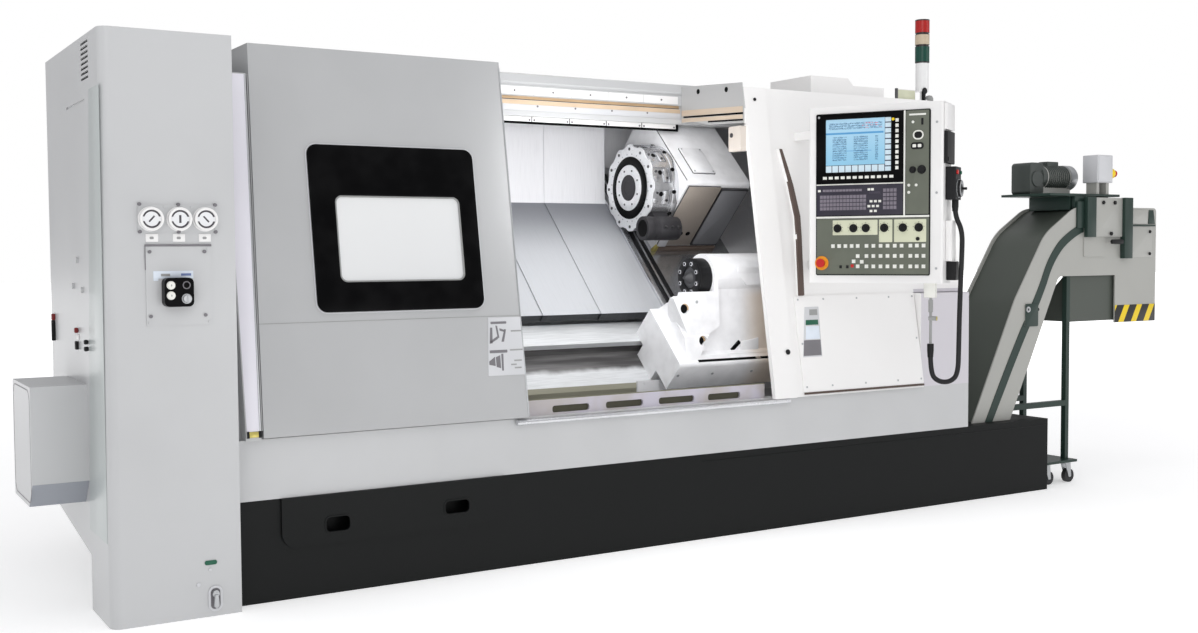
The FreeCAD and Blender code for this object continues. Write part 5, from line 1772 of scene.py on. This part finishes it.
    def operator(self) -> None:
        """Operator's plate: knob fields, button rows and the stop's disc."""
        maker = Maker("operator_plate", FRAMES.panel)
        maker.colour(0).frame(
            rounded(0.041, 0.561, 1.205, 1.46, 0.004), circle(0.066, 1.256, 0.0135, 28, -90), Y,
            -0.0086, self.plate, 0.0004)
        holes = (
            (0.118, 0.328, 1.384, 1.452), (0.335, 0.396, 1.35, 1.452), (0.404, 0.549, 1.35, 1.452))
        maker.colour(1)
        for left, right, low, high in holes:
            maker.plate(left, right, low, high, 0.003, -0.0093, -0.0085, 0.0003)
        maker.colour(3)
        for u in self.knobs():
            for x, z in circle(u, 1.415, 0.0245, 9, -30)[:7]:
                maker.block((x - 0.0013, -0.0098, z - 0.0013), (x + 0.0013, -0.0092, z + 0.0013))
        stop = (0.066, 1.256)
        maker.colour(2).ring(stop, 0.0325, 0.0262, Y, -0.0118, self.raised, 0.0012)
        maker.ring(stop, 0.0264, 0.0135, Y, -0.0126, -0.0112, 0.0006)
        maker.colour(4).rod((0.512, -0.015, 1.364), Y, 0.0062, 0.0085, 20, 0.0012)
        maker.block((0.15, -0.0098, 1.232), (0.162, -0.0085, 1.246), 0.0004)
        maker.block((0.182, -0.0098, 1.232), (0.194, -0.0085, 1.246), 0.0004)
        maker.colour(5).block((0.204, -0.0108, 1.236), (0.218, -0.0085, 1.25), 0.001)
        maker.done((OLIVE, CREAM_PLATE, ORANGE, BLACK, BLACK, RED), "dark_paint", "control_panel")
        points = [(0.12 + 0.0295 * index, 1.334, 0) for index in range(4)]
        points += [(u, 1.334, 0) for u in self.button_columns]
        points += [(u, z, 0) for z in (1.288, 1.241) for u in self.button_columns]
        points += [(0.218, 1.264, 0), (0.256, 1.262, 0)]
        STUDS.run(
            "operator_buttons", points, self.off(-0.0098), PALE, "control_panel", "white_paint",
            Size_X=0.016, Size_Y=0.0165, Height=0.0048, Corner=0.002, Round=False)
        points = [(0.592, z, 0) for z in (1.232, 1.568, 1.88)]
        STUDS.run("panel_screws", points, self.off(-0.0012), ZINC, "control_panel", "zinc",
                  Size_X=0.011, Height=0.0024, Round=True)

    @staticmethod
    def knobs() -> list[float]:
        """Places of the six selector knobs along the panel, read from their nodes."""
        back = FRAMES.panel.inverted()
        places = []
        for number in range(1, 7):
            low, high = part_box("selector_knob_%d" % number)
            middle = (Vector(low) + Vector(high)) / 2
            places.append((back @ middle).x)
        return places

    def side(self) -> None:
        """Cover, hand unit, socket box, air fitting and handwheel dial of the panel's side."""
        maker = Maker("side_units", FRAMES.panel)
        maker.colour(0).block((0.6203, 0.012, 1.848), (0.6345, 0.154, 1.964), 0.003, 3)
        maker.block((0.6203, 0.05, 1.264), (0.648, 0.13, 1.445), 0.003, 3)
        maker.colour(1).block((0.6203, 0.012, 1.698), (0.6362, 0.152, 1.842), 0.004, 3)
        maker.block((0.6203, 0.068, 1.178), (0.6622, 0.132, 1.262), 0.004, 3)
        maker.block((0.6362, 0.02, 1.708), (0.64, 0.038, 1.726), 0.001)
        maker.colour(3).ring(HANDWHEEL, 0.042, 0.0385, X, 0.6663, 0.669, 0.0006)
        maker.colour(2).rod((0.6662, 0.06, 1.66), X, 0.008, 0.01, 24, 0.0012)
        maker.colour(4).rod((0.6662, 0.13, 1.66), X, 0.006, 0.0085, 24, 0.0012)
        maker.done((WHITE, BLACK, RED, ZINC, GREEN), "black_plastic", "control_panel")
        maker = Maker("air_fitting", FRAMES.panel)
        maker.colour(0).block((0.5252, 0.0452, 1.099), (0.5788, 0.0748, 1.166), 0.003, 3)
        maker.colour(1).turned([(1.0345, 0.0064), (1.0995, 0.0064)], HOSE_FITTING, Z, 20)
        maker.turned([(0.89, 0.0064), (1.0335, 0.0064)], HOSE_FITTING, Z, 20)
        maker.turned([(1.0335, 0.0095), (1.0345, 0.0104), (1.0885, 0.0104), (1.0895, 0.0095)],
                     HOSE_FITTING, Z, 24)
        maker.rod((0.5455, 0.06, 1.006), X, 0.035, 0.0104, 24, 0.001)
        maker.colour(2).rod((0.5805, 0.06, 1.006), X, 0.003, 0.011, 6, 0.0008)
        maker.done((PALE, GREY, BRASS), "zinc", "control_panel")
        maker = Maker("handwheel_dial", FRAMES.panel)
        maker.colour(0).ring(HANDWHEEL, 0.0368, 0.021, X, 0.6804, 0.6816, 0.0003)
        maker.colour(1)
        for y, z in circle(*HANDWHEEL, 0.0325, 20):
            maker.block((0.6814, y - 0.0008, z - 0.0008), (0.682, y + 0.0008, z + 0.0008))
        maker.done((ZINC, BLACK), "zinc", "handwheel")


# ---- chip conveyor -----------------------------------------------------------------------
@dataclass
class Conveyor:
    """Stripe, posts, covers and drive details of the chip conveyor."""

    near: float = 0.15
    spine: tuple[tuple[float, float, float], ...] = (
        (4.542, 0.38, 0.025), (4.586, 0.46, 0.025), (4.651, 0.578, 0.026), (4.727, 0.715, 0.026),
        (4.82, 0.874, 0.026), (4.867, 0.948, 0.0255), (4.923, 1.04, 0.025), (4.968, 1.122, 0.0245),
        (5.0215, 1.229, 0.0245), (5.095, 1.321, 0.025), (5.172, 1.378, 0.0245),
        (5.267, 1.424, 0.024), (5.315, 1.431, 0.024))

    def build(self) -> None:
        """Build every piece of the conveyor."""
        self.stripe()
        self.posts()
        self.covers()
        self.hazard()
        self.drive()
        self.leg()

    def stripe(self) -> None:
        """Dark green band up the near plate and round its bend."""
        maker = Maker("conveyor_stripe")
        left, right = self.band(self.spine)
        y = self.near
        maker.colour(0)
        for index in range(len(left) - 1):
            maker.prism([left[index], right[index], right[index + 1], left[index + 1]], Y,
                        y - 0.0032, y - GAP)
        maker.done((FOREST,), "conveyor_dark")

    @staticmethod
    def band(spine: Sequence[tuple[float, float, float]], steps: int = 6) -> tuple[list, list]:
        """Edges of a band of changing half width along a smooth spine."""
        points = []
        count = len(spine)
        for index in range(count - 1):
            before, here = spine[max(index - 1, 0)], spine[index]
            after, last = spine[index + 1], spine[min(index + 2, count - 1)]
            for step in range(steps):
                t = step / steps
                points.append(tuple(0.5 * (2 * b + (c - a) * t + (2 * a - 5 * b + 4 * c - d) * t * t
                                           + (3 * b - a - 3 * c + d) * t ** 3) for a, b, c,
                                    d in zip(before, here, after, last)))
        points.append(spine[-1])
        left, right = [], []
        for index, (x, z, half) in enumerate(points):
            ahead = points[min(index + 1, len(points) - 1)]
            back = points[max(index - 1, 0)]
            dx, dz = ahead[0] - back[0], ahead[1] - back[1]
            size = math.hypot(dx, dz)
            left.append((x - dz / size * half, z + dx / size * half))
            right.append((x + dz / size * half, z - dx / size * half))
        return left, right

    def posts(self) -> None:
        """Dark posts, guard plate and clamp lever at the head."""
        y = self.near
        maker = Maker("conveyor_posts")
        maker.colour(0).block((5.295, y - 0.033, 1.38), (5.371, y - 0.0075, 1.606), 0.003, 2)
        maker.block((5.236, y - 0.012, 1.43), (5.2945, y - GAP, 1.58), 0.003, 2)
        maker.block((5.62, y - 0.033, 1.258), (5.692, y - GAP, 1.606), 0.003, 2)
        maker.colour(1).plate(5.3715, 5.6195, 1.382, 1.604, 0.006, y - 0.015, y - 0.0075, 0.0015)
        maker.colour(2)
        for x, z in ((5.449, 1.576), (5.549, 1.576), (5.519, 1.4)):
            maker.rod((x, y - 0.023, z), Y, 0.0082, 0.012, 6, 0.0015)
        maker.rod((5.573, y - 0.042, 1.354), Y, 0.0415, 0.014, 24, 0.0015)
        maker.plate(5.478, 5.582, 1.341, 1.367, 0.0125, y - 0.056, y - 0.042, 0.003)
        maker.done((FOREST, TRUNK, BLACK), "conveyor_dark")

    def covers(self) -> None:
        """Panels, seams and bolts of the near side and the hood."""
        y = self.near
        maker = Maker("conveyor_covers")
        maker.colour(0).plate(5.702, 5.905, 1.262, 1.44, 0.005, y - 0.0036, y - GAP, 0.0008)
        maker.colour(0).plate(5.702, 5.86, 1.458, 1.538, 0.005, y - 0.0052, y - GAP, 0.0012)
        maker.colour(1).prism(
            [(5.87, 1.458), (5.93, 1.458), (5.915, 1.538), (5.875, 1.538)], Y, y - 0.004, y - GAP,
            0.0008)
        maker.block((5.697, y - 0.0046, 1.444), (5.935, y - GAP, 1.4535), 0.0008)
        maker.colour(2)
        for x, z in ((5.882, 1.412), (5.882, 1.284)):
            maker.rod((x, y - 0.0105, z), Y, 0.007, 0.01, 6, 0.0012)
        maker.rod((4.926, y - 0.0074, 0.984), Y, 0.007, 0.0085, 24, 0.0008)
        maker.colour(1).plate(4.8212, 4.9248, 0.8922, 1.0168, 0.008, y - 0.0076, y - 0.0058)
        maker.colour(3).ring((4.842, 0.986), 0.0162, 0.0066, Y, y - 0.0125, y - 0.007, 0.001)
        maker.done((TRUNK, FOREST, BLACK, ZINC), "conveyor_grey")

    def hazard(self) -> None:
        """Yellow and black bars on the head's lower lip."""
        maker = Maker("hazard_strip")
        maker.block((5.5815, self.near - 0.002, 0.8925), (5.9435, self.near - GAP, 0.99), 0.0004)
        maker.block((5.9453, self.near + 0.004, 0.8925), (5.9466, 0.511, 0.99), 0.0004)
        maker.done((HAZARD,), "conveyor_grey")

    def drive(self) -> None:
        """Shelf skin, motor fins, gearbox covers and the control box's fittings."""
        maker = Maker("drive_shelf")
        maker.block((5.028, 0.157, 1.6105), (5.623, 0.503, 1.6245), 0.0025)
        maker.prism(
            [(5.236, 1.545), (5.29, 1.545), (5.372, 1.61), (5.236, 1.61)], Y, 0.158, 0.18, 0.002)
        maker.block((5.227, 0.187, 1.534), (5.563, 0.473, 1.61), 0.003)
        maker.done((FOREST,), "conveyor_dark")
        maker = Maker("drive_motor")
        centre = (0.0, 0.385, 1.725)
        maker.colour(1).turned(
            [(5.15, 0.07), (5.154, 0.08), (5.176, 0.08), (5.184, 0.0675), (5.205, 0.0675)], centre,
            X, 48)
        maker.colour(1)
        for index in range(11):
            x = 5.216 + 0.0165 * index
            maker.turned([(x, 0.0665), (x + 0.0015, 0.0705), (x + 0.009, 0.0705),
                          (x + 0.0105, 0.0665)], centre, X, 40)
        maker.colour(0).turned(
            [(5.402, 0.0665), (5.404, 0.072), (5.452, 0.072), (5.462, 0.066), (5.4625, 0.05),
             (5.461, 0.046), (5.461, 0.0)], centre, X, 48)
        maker.colour(2).turned([(5.4605, 0.02), (5.465, 0.019), (5.4665, 0.0)], centre, X, 28)
        maker.colour(1).block((5.238, 0.352, 1.782), (5.332, 0.418, 1.814), 0.004, 3)
        maker.plate(5.0525, 5.1675, 1.6225, 1.8025, 0.022, 0.317, 0.453, 0.006)
        maker.turned(
            [(0.3175, 0.046), (0.31, 0.045), (0.308, 0.03), (0.308, 0.0)], (5.11, 0, 1.711), Y, 40)
        maker.done((ZINC, GEAR, YELLOW), "dark_steel")
        maker = Maker("conveyor_box")
        maker.colour(0).block((5.428, 0.158, 1.69), (5.559, 0.262, 1.847), 0.004, 3)
        maker.block((5.4345, 0.1545, 1.6965), (5.5525, 0.1585, 1.8405), 0.002)
        for y, tone in ((0.182, 1), (0.208, 2), (0.234, 1)):
            maker.colour(tone).rod((5.5585, y, 1.806), X, 0.0075, 0.0085, 24, 0.0012)
        maker.colour(3).ring((0.19, 1.745), 0.029, 0.0262, X, 5.5575, 5.588, 0.0006)
        maker.ring((0.19, 1.745), 0.029, 0.0212, X, 5.5868, 5.5886)
        maker.done((FAINT, PALE, BLACK, YELLOW), "conveyor_grey")

    def leg(self) -> None:
        """Feet of the stand with the nuts above them."""
        maker = Maker("leg_feet")
        for x in (5.03, 5.2):
            maker.colour(0).turned(
                [(0.0, 0.0295), (0.006, 0.03), (0.012, 0.022), (0.022, 0.012), (0.022, 0.0)],
                (x, 0.475, 0.0002), Z, 28)
            maker.turned([(0.094, 0.015), (0.117, 0.015)], (x, 0.475, 0.0), Z, 6)
        maker.done((ZINC,), "zinc")


# ---- loose lines -------------------------------------------------------------------------
@dataclass
class AirHose:
    """Rubber hose that hangs between the air fitting and the hand unit."""

    diameter: float = 0.022
    route: tuple[tuple[float, float, float], ...] = (
        (0.554, 0.06, 0.861), (0.554, 0.06, 0.757), (0.59, 0.06, 0.721), (0.642, 0.06, 0.721),
        (0.678, 0.06, 0.757), (0.68, 0.062, 0.882), (0.68, 0.07, 1.01), (0.681, 0.082, 1.15),
        (0.684, 0.092, 1.29), (0.685, 0.095, 1.4), (0.652, 0.095, 1.466), (0.652, 0.095, 1.508))

    def build(self) -> None:
        """Build the hose and the sleeves at its ends."""
        curve = bpy.data.curves.new("air_line", "CURVE")
        curve.dimensions = "3D"
        curve.bevel_depth = self.diameter / 2
        curve.bevel_resolution = 5
        curve.resolution_u = 10
        spline = curve.splines.new("NURBS")
        spline.points.add(len(self.route) - 1)
        for point, place in zip(spline.points, self.route):
            spot = FRAMES.panel @ Vector(place)
            point.co = (*spot, 1.0)
        spline.order_u = 3
        spline.use_endpoint_u = True
        curve.materials.append(FINISHES.get(RUBBER))
        hose = bpy.data.objects.new("air_line", curve)
        bpy.context.scene.collection.objects.link(hose)
        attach(hose, "control_panel")
        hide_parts("air_hose")
        sleeve = self.sleeve()
        start = FRAMES.panel @ Vector(self.route[0])
        self.length()

    def sleeve(self) -> bpy.types.Object:
        """Strain relief where the hose leaves the fitting."""
        maker = Maker("hose_sleeve", FRAMES.panel)
        maker.turned([(0.829, 0.0114), (0.83, 0.0128), (0.85, 0.014), (0.8605, 0.015),
                      (0.89, 0.015), (0.8915, 0.0138)], HOSE_FITTING, Z, 28)
        maker.turned([(1.486, 0.0114), (1.487, 0.0128), (1.5, 0.0138), (1.5075, 0.015),
                      (1.5372, 0.015)], (0.652, 0.095, 0), Z, 28)
        return maker.done((BLACK,), "hose_rubber", "control_panel")

    def length(self) -> float:
        """Length along straight runs and the arcs that join them, as the CAD draws them."""
        points = [Vector(place) for place in self.route]
        total = sum((b - a).length for a, b in zip(points, points[1:]))
        for before, here, after in zip(points, points[1:], points[2:]):
            back, ahead = before - here, after - here
            reach = 0.45 * min(back.length, ahead.length)
            half = (math.pi - back.angle(ahead)) / 2
            radius = reach / math.tan(half)
            total += radius * 2 * half - 2 * reach
        return total


PARTS = (Cabinet, Door, Base, Beam, RightEnd, Turret, CrossSlide, Tailstock, Spindle, ControlPanel,
         Conveyor, AirHose)


def main() -> None:
    """Dress the machine and build the studio."""
    dress_frame()
    for part in PARTS:
        part().build()
    Studio().build()


if __name__ == "__main__":
    main()
